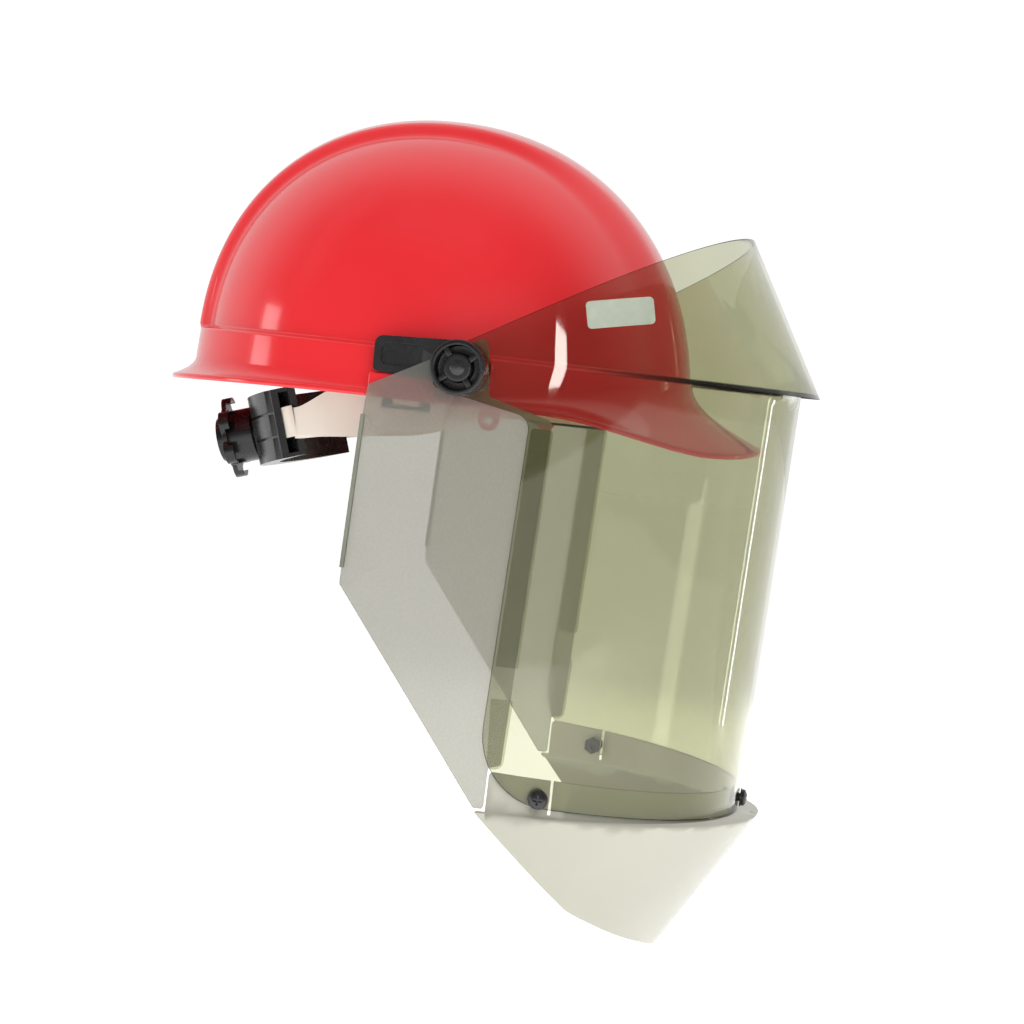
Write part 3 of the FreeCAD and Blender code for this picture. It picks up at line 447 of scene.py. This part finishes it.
RED = glossy_red()
BLACK = moulded_black("black_nylon", 0.006, 0.012, (0.20, 0.34))
SOFT_BLACK = moulded_black("black_washer", 0.016, 0.030, (0.4, 0.6))
# The window's tint carries a painted shade line along its crease.
WINDOW = clear_sheet("window_tint", (0.755, 0.760, 0.655), fold=True)
WINDOW_EDGE = clear_sheet("window_cut_edge", (0.10, 0.11, 0.08), 0.15, ((0.035, 0.04, 0.03), 0.7))
# Painted shade: a dark, nearly opaque sheet for the level faces at the window's crease.
WINDOW_LEDGE_SHADE = clear_sheet("window_ledge_painted_shade", (0.20, 0.21, 0.17), 0.03, ((0.02, 0.02, 0.02), 0.45))
FROST_EDGE = clear_sheet("guard_cut_edge", (0.50, 0.52, 0.46), 0.4, ((0.34, 0.35, 0.31), 0.6))
# Painted shade: dark grey on the chin guard's cut edges; in its slits it stands in for shadow.
CHIN_EDGE_SHADE = moulded_black("chin_edge_painted_shade", 0.050, 0.075, (0.3, 0.4))
STRIP = clear_sheet("strip_tint", (0.80, 0.81, 0.72), 0.3)
FROST = frosted_sheet()
CHIN = chin_plastic()
WEBBING = webbing_material()
CLOTH = foam_cloth()
IVORY = ivory_nylon()
GREY = grey_nylon()
STEEL = bright_steel()
BLACK_STEEL = black_steel()
LABEL = label_film()
TRIM = trim_material()


# ---- shell -----------------------------------------------------------------------------------

WALL = 2.5 * MM
DOME_LENGTH = 119.2 * MM
DOME_WIDTH = 103.5 * MM
DOME_BASE = 10.0 * MM
DOME_RISE = 124.2 * MM
DOME_POWER = 2.15
DOME_LEAN = 0.045
RIDGE_RISE = 5.0 * MM
RIDGE_HALF = 32.0 * MM
RIDGE_SOFT_REAR = 9.0 * MM
RIDGE_SOFT_FRONT = 26.0 * MM
BELT = 24.0 * MM
BAND_LENGTH = 125.2 * MM
BAND_WIDTH = 108.4 * MM
BAND_DRAFT = 1.3 * MM
BRIM_SIDE = 3.4 * MM
BRIM_REAR = 10.0 * MM
PEAK_REACH = 36.5 * MM
PEAK_DROOP = 11.5 * MM
REAR_DROOP = 3.0 * MM
PEAK_ARCH = 3.7 * MM
PEAK_ARCH_SPREAD = 14.0      # degrees either side of the peak's middle
LIP_ROUND = 0.55 * MM        # swell of the brim's lip at its middle
LIP_SHOULDER = 0.35 * MM     # and nearer its two faces
ROUND = 288                  # points round the shell
TURN = np.linspace(0.0, 2 * math.pi, ROUND, endpoint=False)
FROM_BACK = np.degrees(np.minimum(TURN, 2 * math.pi - TURN))


def dome_ring(height, grow):
    """Ring of points on the dome and ridge; height runs from 0 at its base to 1 at the top."""
    reach = max(1.0 - height ** DOME_POWER, 0.0) ** (1.0 / DOME_POWER)
    width, length, rise = DOME_WIDTH + grow, DOME_LENGTH + grow, DOME_RISE + grow
    x = width * reach * np.sin(TURN)
    y = length * reach * np.cos(TURN)
    z = np.full_like(x, rise * height)
    normal = np.stack([x / width ** 2, y / length ** 2, z / rise ** 2 + 1e-9], axis=1)
    normal /= np.linalg.norm(normal, axis=1)[:, None]
    front = ease((-y - 0.02) / 0.08)
    soft = mix(RIDGE_SOFT_REAR, RIDGE_SOFT_FRONT, front)
    ridge = 1.0 - ease((np.abs(x) - RIDGE_HALF + soft / 2) / soft)
    ring = np.stack([x, y + DOME_LEAN * (z + DOME_BASE), z + DOME_BASE], axis=1)
    return ring + normal * (RIDGE_RISE * ridge)[:, None]


def wall_ring(z, grow):
    """Ring of points on the upright band below the belt line."""
    z = np.broadcast_to(z, TURN.shape)
    inset = BAND_DRAFT * z / BELT - grow
    x = (BAND_WIDTH - inset) * np.sin(TURN)
    y = (BAND_LENGTH - inset) * np.cos(TURN)
    return np.stack([x, y, z], axis=1)


def brim_rings(under, count):
    """Rings from the wall to the lip, on a cubic through four poles at each angle."""
    front = ease((FROM_BACK - 95.0) / 75.0)
    rear = np.maximum(np.cos(TURN), 0.0) ** 2
    width = BRIM_SIDE + (BRIM_REAR - BRIM_SIDE) * rear + (PEAK_REACH - BRIM_SIDE) * front
    droop = PEAK_DROOP * ease((FROM_BACK - 118.0) / 37.0) + REAR_DROOP * rear
    droop = droop - PEAK_ARCH * np.exp(-((180.0 - FROM_BACK) / PEAK_ARCH_SPREAD) ** 2)
    out = np.stack([np.sin(TURN) / BAND_WIDTH, np.cos(TURN) / BAND_LENGTH, np.zeros(ROUND)], axis=1)
    out /= np.linalg.norm(out, axis=1)[:, None]
    root = mix(8.5 * MM, 21.0 * MM, front)
    bend = mix(3.4 * MM, 7.5 * MM, front)
    step = out * (0.5 * MM + 0.8 * MM * front)[:, None]
    lip = wall_ring(WALL - droop, 0) + out * width[:, None]
    knee = wall_ring(mix(bend, WALL - droop, 0.30), 0) + out * (0.42 * width)[:, None]
    down = np.array([0, 0, -WALL]) if under else np.zeros(3)
    grow = -WALL if under else 0.0
    poles = [
        wall_ring(root + down[2], grow),
        wall_ring(mix(root, bend, 0.72) + down[2], grow) + step,
        knee + down,
        lip + down,
    ]
    rings = []
    for t in np.linspace(0.0, 1.0, count):
        weights = ((1 - t) ** 3, 3 * (1 - t) ** 2 * t, 3 * (1 - t) * t ** 2, t ** 3)
        rings.append(sum(pole * weight for pole, weight in zip(poles, weights)))
    return rings, out


def shell_side(under):
    """Rings of one face of the shell, from the crown down to the lip of the brim."""
    grow = -WALL if under else 0.0
    climbs = np.radians(np.linspace(89.2, 9.0, 84))
    rings = [dome_ring(math.sin(climb) ** (2.0 / DOME_POWER), grow) for climb in climbs]
    belt = BELT + grow * 0.6
    rise = DOME_RISE + grow
    for z in np.linspace(30.0 * MM, belt - 1.6 * MM, 15):
        weight = float(ease((belt + 1.3 * MM - z) / (2.6 * MM)))
        low = dome_ring(max(z - DOME_BASE, 0.0) / rise, grow)
        rings.append(low + (wall_ring(z, grow) - low) * weight)
    brims, out = brim_rings(under, 22)
    return rings + brims, out


def shell_skin():
    """The shell as one closed skin: outer face, rounded lip and inner face."""
    outer, out = shell_side(False)
    inner, _ = shell_side(True)
    lip = [mix(outer[-1], inner[-1], share) + out * swell
           for share, swell in ((0.14, LIP_SHOULDER), (0.5, LIP_ROUND), (0.86, LIP_SHOULDER))]
    rings = outer + lip + inner[::-1]
    points = np.concatenate(rings)
    faces = []
    for row in range(len(rings) - 1):
        for i in range(ROUND):
            j = (i + 1) % ROUND
            a, b = row * ROUND, (row + 1) * ROUND
            faces.append((a + i, b + i, b + j, a + j))
    last = (len(rings) - 1) * ROUND
    tips = [outer[0].mean(axis=0), inner[0].mean(axis=0)]
    tips[0][2] += 0.02 * MM
    points = np.concatenate([points, np.array(tips)])
    top = len(points) - 2
    for i in range(ROUND):
        j = (i + 1) % ROUND
        faces.append((top, i, j))
        faces.append((top + 1, last + j, last + i))
    mesh = mesh_from("shell_skin", points, faces, 50.0)
    piece = add_object("shell_skin", mesh, RED)
    finish_piece(piece, "hat", "shell")


def bevelled_box(work, low, high, radius, segments=4):
    """Add a box with rounded edges to a bmesh."""
    made = bmesh.ops.create_cube(work, size=1.0)["verts"]
    low, high = Vector(low), Vector(high)
    for vert in made:
        vert.co = Vector([mix(low[k], high[k], vert.co[k] + 0.5) for k in range(3)])
    edges = {edge for vert in made for edge in vert.link_edges}
    bmesh.ops.bevel(work, geom=list(edges), offset=radius, segments=segments, profile=0.5, affect="EDGES")


POCKET_X = (104.6 * MM, 112.2 * MM)
POCKET_Y = (-16 * MM, 16.5 * MM)
POCKET_Z = (0.6 * MM, 11.5 * MM)
POCKET_ROUND = 1.6 * MM


def shell_pockets():
    """Raised accessory pockets on the band, closed round the adapters' blades."""
    for side, sign in SIDES:
        name = "shell_pocket_" + side
        x_low, x_high = sorted(sign * x for x in POCKET_X)
        work = bmesh.new()
        low, high = (x_low, POCKET_Y[0], POCKET_Z[0]), (x_high, POCKET_Y[1], POCKET_Z[1])
        bevelled_box(work, low, high, POCKET_ROUND)
        piece = add_object(name, mesh_from_bmesh(name, work, 40), RED)
        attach(piece, "hat")


# ---- window, guards and chin guard -----------------------------------------------------------

CREASE = 22.5 * MM
WINDOW_CENTRE = -59.5 * MM
WINDOW_HALF = 116.5 * MM
WINDOW_DEPTH = 118.5 * MM
WINDOW_LEAN = 0.035
FLARE_DEPTH = 128.0 * MM
FLARE_TAPER = 0.555
WINDOW_WALL = 2.0 * MM
GUARD_WALL = 1.0 * MM
CHIN_WALL = 1.5 * MM
LEDGE_NEAR = 3.0 * MM        # how far from the crease a level face still belongs to its ledge


def mark_cut_edges(piece, material, wall, may_be_cut):
    """Give a sheet's cut edges their own darker material (a painted shade on the chin guard): allowed faces
    with far more than a wall behind them.
    """
    mesh = piece.data
    mesh.materials.append(material)
    tree = BVHTree.FromPolygons([v.co for v in mesh.vertices], [tuple(f.vertices) for f in mesh.polygons])
    for face in mesh.polygons:
        if not may_be_cut(face):
            continue
        start = face.center - face.normal * 0.02 * MM
        distance = tree.ray_cast(start, -face.normal)[3]
        if distance is None or distance > wall * 1.9:
            face.material_index = 1


def window_normal(place):
    """Direction square to the window's bent sheet at a point of it."""
    centre = WINDOW_CENTRE
    if place.z > CREASE:
        depth = FLARE_DEPTH - FLARE_TAPER * (place.z - CREASE)
        back = place.y - centre
        if back > 0:
            return Vector((place.x, 0, 0)).normalized()
        rise = FLARE_TAPER * back * back / depth ** 3
        return Vector((place.x / WINDOW_HALF ** 2, back / depth ** 2, rise)).normalized()
    back = place.y - centre - WINDOW_LEAN * (CREASE - place.z)
    if back > 0:
        return Vector((place.x, 0, 0)).normalized()
    share = back / WINDOW_DEPTH ** 2
    return Vector((place.x / WINDOW_HALF ** 2, share, WINDOW_LEAN * share)).normalized()


def window_pane():
    """The thermoformed window: even bent faces, darker cut edges and painted shade as a dark line on the
    level faces at the crease.
    """
    pane = cad_copy("faceshield_window", "window_pane", WINDOW, "shield", 30.0)
    off_sheet = 0.8
    mark_cut_edges(pane, WINDOW_EDGE, WINDOW_WALL,
                   lambda face: abs(window_normal(face.center).dot(face.normal)) < off_sheet)
    mesh = pane.data
    mesh.materials.append(WINDOW_LEDGE_SHADE)
    normals = [Vector(corner.vector) for corner in mesh.corner_normals]
    for face in mesh.polygons:
        # Level faces at the crease get the painted shade of the ledge.
        if abs(face.normal.z) > 0.9 and abs(face.center.z - CREASE) < LEDGE_NEAR:
            face.material_index = 2
            continue
        if face.material_index:
            continue
        for corner in face.loop_indices:
            place = mesh.vertices[mesh.loops[corner].vertex_index].co
            square = window_normal(place)
            share = square.dot(face.normal)
            if abs(share) > 0.9:
                normals[corner] = square if share > 0 else -square
    mesh.normals_split_custom_set(normals)


def chin_cut(face):
    """Faces painted dark: the chin guard's lower rim, its slits (painted shadow there) and the top of its
    flange, all cut square to the side view.
    """
    normal = face.normal
    lower = normal.y > 0.05 and normal.z < 0.1
    return abs(normal.x) < 0.2 and (lower or abs(normal.y) > 0.98 or normal.z > 0.98)


def shield_parts():
    """Everything that lifts with the window."""
    window_pane()
    for side, _ in SIDES:
        panel = cad_copy("side_guard_" + side, "guard_panel_" + side, FROST, "shield")
        mark_cut_edges(panel, FROST_EDGE, GUARD_WALL, lambda face: abs(face.normal.x) < 0.3)
        cad_copy("guard_edge_trim_" + side, "guard_trim_" + side, TRIM, "shield", bevel=0.25 * MM)
        for level in ("upper", "lower"):
            name = "joint_strip_%s_%s" % (level, side)
            cad_copy(name, name + "_film", STRIP, "shield")
    cup = cad_copy("chin_guard", "chin_cup", CHIN, "shield", 32.0)
    # The chin guard's cut edges and slits get the dark painted shade.
    mark_cut_edges(cup, CHIN_EDGE_SHADE, 2 * CHIN_WALL, chin_cut)
    cad_copy("blank_label", "label_patch", LABEL, "shield")
    cad_copy("chin_screws", "chin_screw_heads", BLACK_STEEL, "shield", bevel=0.2 * MM)
    cad_copy("chin_washers", "chin_screw_washers", BLACK_STEEL, "shield", bevel=0.12 * MM)
    cad_copy("chin_nuts", "chin_screw_nuts", BLACK_STEEL, "shield", bevel=0.25 * MM)


# ---- knobs and adapters ----------------------------------------------------------------------

def lathe(work, profile, count=96):
    """Add a surface of revolution about Z from (radius, z) pairs."""
    rings = []
    for radius, z in profile:
        ring = []
        for i in range(count):
            angle = 2 * math.pi * i / count
            ring.append(work.verts.new((radius * math.cos(angle), radius * math.sin(angle), z)))
        rings.append(ring)
    for low, high in zip(rings, rings[1:]):
        for i in range(count):
            j = (i + 1) % count
            work.faces.new((low[i], low[j], high[j], high[i]))
    for ring, flip in ((rings[0], True), (rings[-1], False)):
        work.faces.new(ring[::-1] if flip else ring)


def arc_profile(centre, radius, start, end, count=6):
    """Points of an arc in (radius, z), angles in degrees."""
    return [(centre[0] + radius * math.cos(math.radians(a)), centre[1] + radius * math.sin(math.radians(a)))
            for a in np.linspace(start, end, count)]


def aim(sign, seat):
    """Places a piece made on +Z so that +Z points outwards along X."""
    turn = Vector((0, 0, 1)).rotation_difference(Vector((sign, 0, 0))).to_matrix().to_4x4()
    return Matrix.Translation(seat) @ turn


KNOB_SEAT = 117.9 * MM       # the knob's inner face, out from the middle
KNOB_FLUTES = 12
KNOB_FLUTE_DEPTH = 0.45 * MM
KNOB_RIBS = 4
KNOB_RIB_START = 38.0        # degrees
CAP_SEAT = 10.6 * MM         # the cap's seat above the knob's inner face


def knob_grip(side, sign, seat):
    """Fluted rim, sunk face, hub and ribs of a tension knob."""
    rim, height, well = 12.8 * MM, 12.5 * MM, 10.4 * MM
    work = bmesh.new()
    profile = [(4.6 * MM, 0.0)]
    profile += arc_profile((rim - 0.8 * MM, 0.8 * MM), 0.8 * MM, -90, 0)
    profile += arc_profile((rim - 1.2 * MM, height - 1.2 * MM), 1.2 * MM, 0, 90)
    profile += arc_profile((well + 0.5 * MM, height - 0.5 * MM), 0.5 * MM, 90, 180)
    profile += arc_profile((well - 0.7 * MM, 5.0 * MM), 0.7 * MM, 0, -90)
    profile += arc_profile((7.2 * MM, 5.0 * MM), 0.7 * MM, 270, 180)
    profile += arc_profile((5.7 * MM, 10.6 * MM), 0.8 * MM, 0, 90)
    profile += [(4.6 * MM, 11.4 * MM)]
    lathe(work, profile, 144)
    for vert in work.verts:
        radius = math.hypot(vert.co.x, vert.co.y)
        if radius > rim - 0.9 * MM and 1.2 * MM < vert.co.z < height - 1.0 * MM:
            angle = math.atan2(vert.co.y, vert.co.x)
            dip = KNOB_FLUTE_DEPTH * (0.5 + 0.5 * math.cos(KNOB_FLUTES * angle)) ** 4
            vert.co.x *= 1 - dip / radius
            vert.co.y *= 1 - dip / radius
    rib_low, rib_high = (5.4 * MM, -1.4 * MM, 3.6 * MM), (11.0 * MM, 1.4 * MM, 10.6 * MM)
    for i in range(KNOB_RIBS):
        before = set(work.verts)
        bevelled_box(work, rib_low, rib_high, 0.45 * MM, 3)
        turn = Matrix.Rotation(math.radians(360.0 / KNOB_RIBS * i + KNOB_RIB_START), 4, "Z")
        bmesh.ops.transform(work, matrix=turn, verts=[v for v in work.verts if v not in before])
    bmesh.ops.transform(work, matrix=aim(sign, seat), verts=work.verts)
    name = "knob_grip_" + side
    piece = add_object(name, mesh_from_bmesh(name, work, 40), BLACK)
    finish_piece(piece, "knob_" + side, "tension_knob_" + side)


def knob_dome(side, sign, seat):
    """Domed cap over the stud's end in the middle of a tension knob."""
    work = bmesh.new()
    dome = [(4.5 * MM, -1.4 * MM), (4.5 * MM, -0.2 * MM)]
    dome += arc_profile((4.2 * MM, -0.2 * MM), 0.3 * MM, 0, 90, 3)
    for angle in np.linspace(0.0, 1.45, 9):
        dome.append((3.9 * MM * math.cos(angle), 0.1 * MM + 1.9 * MM * math.sin(angle)))
    lathe(work, dome, 64)
    raised = seat + Vector((sign * CAP_SEAT, 0, 0))
    bmesh.ops.transform(work, matrix=aim(sign, raised), verts=work.verts)
    name = "knob_dome_" + side
    piece = add_object(name, mesh_from_bmesh(name, work, 30), BLACK_STEEL)
    finish_piece(piece, "knob_" + side, "knob_cap_" + side)


def pivot_parts():
    """Knobs, adapters and the pivot stacks, and the eyelets under the rim."""
    for side, sign in SIDES:
        seat = Vector((sign * KNOB_SEAT, PIVOT.y, PIVOT.z))
        knob_grip(side, sign, seat)
        knob_dome(side, sign, seat)
        cad_copy("knob_insert_" + side, "knob_nut_" + side, STEEL, "knob_" + side)
        cad_copy("shield_adapter_" + side, "adapter_plate_" + side, BLACK, "hat", bevel=0.4 * MM)
        cad_copy("pivot_stud_" + side, "stud_" + side, STEEL, "hat")
        cad_copy("pivot_bush_" + side, "bush_" + side, SOFT_BLACK, "hat")
    cad_copy("friction_washers", "washer_rings", SOFT_BLACK, "hat")
    cad_copy("chinstrap_eyelets", "eyelet_rings", RED, "hat", bevel=0.4 * MM)


# ---- suspension ------------------------------------------------------------------------------

STRAP_THICK = 1.2 * MM
STRAP_WIDE = 17.0 * MM
STRAP_STEPS = 120
STRAP_LANES = (-0.5, -0.46, -0.38, 0.0, 0.38, 0.46, 0.5)     # across the strap, in widths
STRAP_EDGE = (0.30, 0.85, 1.0, 1.0, 1.0, 0.85, 0.30)         # thickness at each lane


def suspension_parts():
    """Headband and its four keys."""
    cad_copy("headband", "headband_strap", IVORY, "hat", 40.0)
    for end in ("front", "rear"):
        for side, _ in SIDES:
            node = "suspension_key_%s_%s" % (end, side)
            cad_copy(node, "key_%s_%s" % (end, side), GREY, "hat", bevel=0.5 * MM)


def strap(node, name):
    """Webbing arch in the space of its CAD solid, with UVs along and across for the weave."""
    low, high = (Vector(corner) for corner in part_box(node))
    points = np.array([v.co for v in frame["nodes"][node].data.vertices])
    feet = points[points[:, 2] < points[:, 2].min() + 1e-5]
    split = feet[:, 1] < feet[:, 1].mean()
    front, rear = feet[split].mean(axis=0), feet[~split].mean(axis=0)
    middle = (front + rear) / 2
    along = rear - front
    half = np.linalg.norm(along) / 2
    along = along / np.linalg.norm(along)
    across = np.array([-along[1], along[0], 0])
    foot = low.z
    rise = high.z - foot - STRAP_THICK / 2
    lanes = list(zip(STRAP_LANES, STRAP_EDGE))
    work = bmesh.new()
    layer = work.loops.layers.uv.new("UVMap")
    rows, lengths, last = [], [0.0], None
    for i in range(STRAP_STEPS + 1):
        angle = math.pi * i / STRAP_STEPS
        spot = np.array([-math.cos(angle) * half, math.sin(angle) * rise])
        normal = np.array([-math.cos(angle) / half, math.sin(angle) / rise])
        normal /= np.linalg.norm(normal)
        if i:
            lengths.append(lengths[-1] + float(np.linalg.norm(spot - last)))
        last = spot
        ring = []
        for side in (1, -1):
            for lane, full in lanes[::side]:
                shift = spot + normal * (side * STRAP_THICK / 2 * full)
                place = middle + along * shift[0] + across * (lane * STRAP_WIDE)
                ring.append(work.verts.new((place[0], place[1], foot + shift[1])))
        rows.append(ring)
    count, top = len(rows[0]), len(lanes) - 1
    span = [(k if k <= top else 2 * top + 1 - k) / top * STRAP_WIDE for k in range(count)]
    for i in range(STRAP_STEPS):
        for k in range(count):
            n = (k + 1) % count
            face = work.faces.new((rows[i][k], rows[i][n], rows[i + 1][n], rows[i + 1][k]))
            corners = ((i, k), (i, n), (i + 1, n), (i + 1, k))
            for loop, (row, lane) in zip(face.loops, corners):
                loop[layer].uv = (lengths[row], span[lane])
    for ring, flip in ((rows[0], False), (rows[-1], True)):
        work.faces.new(ring[::-1] if flip else ring)
    bmesh.ops.recalc_face_normals(work, faces=work.faces)
    piece = add_object(name, mesh_from_bmesh(name, work, 50), WEBBING)
    finish_piece(piece, "hat", node)


PAD_HALF_ANGLE = 59.5        # degrees either side of the brow
PAD_TAPER = 5.0              # degrees over which the ends thin out
PAD_HALF_HEIGHT = 16.6 * MM
PAD_THICK = 2.1 * MM
PAD_INSET = 3.2 * MM
PAD_QUILT = 12.0             # how many times a turn the quilting repeats


def brow_pad():
    """Sweat pad: a crowned foam strip wrapped inside the headband, pinched at its quilting."""
    centre_y, length, width = -7.0 * MM, 92.0 * MM, 79.0 * MM
    across, along = 18, 96
    work = bmesh.new()
    rows = []
    for i in range(along + 1):
        degrees = PAD_HALF_ANGLE * (2.0 * i / along - 1.0)
        angle = math.radians(degrees)
        out = Vector((math.sin(angle) / width, -math.cos(angle) / length, 0)).normalized()
        base = Vector((width * math.sin(angle), centre_y - length * math.cos(angle), 12.0 * MM))
        ends = min(1.0, (PAD_HALF_ANGLE - abs(degrees)) / PAD_TAPER)
        swell = 0.25 + 0.75 * math.sqrt(max(ends, 0.0))
        quilt = 1.0 - 0.16 * max(0.0, math.cos(math.radians(degrees * PAD_QUILT))) ** 10
        ring = []
        for k in range(across):
            turn = 2 * math.pi * k / across
            flat = math.copysign(abs(math.cos(turn)) ** 0.55, math.cos(turn))
            rise = math.copysign(abs(math.sin(turn)) ** 0.8, math.sin(turn))
            depth = -PAD_INSET + PAD_THICK * flat * swell * quilt
            ring.append(work.verts.new(base + out * depth + Vector((0, 0, PAD_HALF_HEIGHT * rise))))
        rows.append(ring)
    for low, high in zip(rows, rows[1:]):
        for k in range(across):
            n = (k + 1) % across
            work.faces.new((low[k], low[n], high[n], high[k]))
    for ring, flip in ((rows[0], True), (rows[-1], False)):
        work.faces.new(ring[::-1] if flip else ring)
    bmesh.ops.recalc_face_normals(work, faces=work.faces)
    piece = add_object("brow_cushion", mesh_from_bmesh("brow_cushion", work, 60), CLOTH)
    subdivide = piece.modifiers.new("round", "SUBSURF")
    subdivide.levels = subdivide.render_levels = 1
    finish_piece(piece, "hat", "brow_pad")


# ---- ratchet ---------------------------------------------------------------------------------

def ratchet_parts():
    """Housing, cover and the parts that turn with the rear knob."""
    cad_copy("ratchet_housing", "ratchet_back_plate", BLACK, "hat", bevel=0.5 * MM)
    cad_copy("ratchet_cover", "ratchet_case", BLACK, "hat", bevel=0.5 * MM)
    cad_copy("ratchet_pinion", "pinion", SOFT_BLACK, "ratchet_knob")
    cad_copy("ratchet_pawl_spring", "pawl_spring", SOFT_BLACK, "ratchet_knob")
    cad_copy("ratchet_knob", "ratchet_grip", BLACK, "ratchet_knob", bevel=0.5 * MM)
    cad_copy("ratchet_knob_screw", "grip_screw", BLACK_STEEL, "ratchet_knob")


# ---- camera, floor and light -----------------------------------------------------------------

def camera():
    """Long lens from the wearer's right, a little ahead of square and a little above."""
    azimuth, elevation, roll = math.radians(-82.05), math.radians(2.63), math.radians(6.54)
    distance = 1.375
    target = Vector((0.0, -0.0419, -0.0505))
    level = math.cos(elevation)
    back = Vector((math.sin(azimuth) * level, -math.cos(azimuth) * level, math.sin(elevation)))
    lens = bpy.data.cameras.new("camera")
    lens.lens = 96.68
    lens.sensor_width = 36.0
    lens.clip_end = 50.0
    eye = bpy.data.objects.new("camera", lens)
    bpy.context.collection.objects.link(eye)
    turn = back.to_track_quat("Z", "Y").to_matrix().to_4x4()
    eye.matrix_world = Matrix.Translation(target + back * distance) @ turn @ Matrix.Rotation(roll, 4, "Z")
    bpy.context.scene.camera = eye


def area_light(name, place, target, size, power, mirrored=True):
    """Oblong lamp aimed at a target, hidden from the camera and, on request, from gloss."""
    lamp = bpy.data.lights.new(name, "AREA")
    lamp.shape = "RECTANGLE"
    lamp.size, lamp.size_y = size
    lamp.energy = power
    holder = bpy.data.objects.new(name, lamp)
    bpy.context.collection.objects.link(holder)
    place = Vector(place)
    turn = (place - Vector(target)).to_track_quat("Z", "Y").to_matrix().to_4x4()
    holder.matrix_world = Matrix.Translation(place) @ turn
    holder.visible_camera = False
    holder.visible_glossy = mirrored


FLOOR_HALF = 9.0
FLOOR_DROP = 0.10            # below the lowest point of the part
BACKDROP = 1.06              # strength of the white behind the part
DARK_SIDE = 0.16             # strength of the surroundings on the wearer's right
LIGHT_SIDE = 0.85            # and on the left
SWEEP = 0.35                 # how far either side of the middle the one passes into the other


def floor():
    """Pale floor with a faint glow, so that it joins the white backdrop."""
    work = bmesh.new()
    bmesh.ops.create_grid(work, x_segments=24, y_segments=24, size=FLOOR_HALF)
    for vert in work.verts:
        vert.co.z = CAD_BOX[0][2] - FLOOR_DROP
    mesh = mesh_from_bmesh("floor", work)
    paint = Paint("pale_floor")
    paint.colour((0.90, 0.90, 0.90), (0.93, 0.93, 0.93), 3.0)
    paint.set(Roughness=0.9, Specular_IOR_Level=0.1, Emission_Strength=0.55)
    paint.set(Emission_Color=(1, 1, 1, 1))
    add_object("floor", mesh, paint.material)


def surroundings():
    """White behind the part; darker on the camera's side than on the far side for light and gloss."""
    world = bpy.data.worlds.new("studio")
    bpy.context.scene.world = world
    world.use_nodes = True
    tree = world.node_tree
    backdrop = tree.nodes["Background"]
    backdrop.inputs["Color"].default_value = (1, 1, 1, 1)
    path = tree.nodes.new("ShaderNodeLightPath")
    heading = tree.nodes.new("ShaderNodeTexCoord")
    split = tree.nodes.new("ShaderNodeSeparateXYZ")
    tree.links.new(heading.outputs["Generated"], split.inputs[0])
    sweep = tree.nodes.new("ShaderNodeMapRange")
    sweep.interpolation_type = "SMOOTHSTEP"
    sweep.inputs["From Min"].default_value = -SWEEP
    sweep.inputs["From Max"].default_value = SWEEP
    sweep.inputs["To Min"].default_value = DARK_SIDE
    sweep.inputs["To Max"].default_value = LIGHT_SIDE
    tree.links.new(split.outputs["X"], sweep.inputs["Value"])
    strength = tree.nodes.new("ShaderNodeMapRange")
    strength.inputs["To Max"].default_value = BACKDROP
    tree.links.new(path.outputs["Is Camera Ray"], strength.inputs["Value"])
    tree.links.new(sweep.outputs[0], strength.inputs["To Min"])
    tree.links.new(strength.outputs[0], backdrop.inputs["Strength"])


def lights():
    """Large soft lamps for the colour, and narrow ones that draw the highlights."""
    middle = (0.0, -0.03, -0.03)
    area_light("fill", (-1.8, -0.9, 0.5), middle, (1.6, 1.6), 21.0, mirrored=False)
    area_light("top", (-0.6, 0.1, 1.7), middle, (1.4, 1.4), 12.0, mirrored=False)
    area_light("ridge_line", (-0.55, 1.25, 1.15), middle, (0.16, 1.5), 6.0, mirrored=False)
    area_light("brim_line", (-0.35, 1.6, -0.1), middle, (0.30, 0.9), 3.0)
    area_light("window_line", (0.85, -1.36, -0.1), (0, -0.06, -0.1), (0.035, 1.3), 1.6)
    area_light("ear_patch", (-1.59, -0.167, 0.048), (0, -0.07, 0.03), (0.13, 0.085), 0.45)
    area_light("far_side", (1.6, -0.6, 0.6), middle, (1.4, 1.4), 12.0, mirrored=False)


def main():
    camera()
    floor()
    surroundings()
    lights()
    view = bpy.context.scene.view_settings
    view.view_transform = "Standard"
    view.look = "None"
    shell_skin()
    shell_pockets()
    shield_parts()
    pivot_parts()
    suspension_parts()
    strap("crown_strap_lower", "strap_lower")
    strap("crown_strap_upper", "strap_upper")
    brow_pad()
    ratchet_parts()


main()
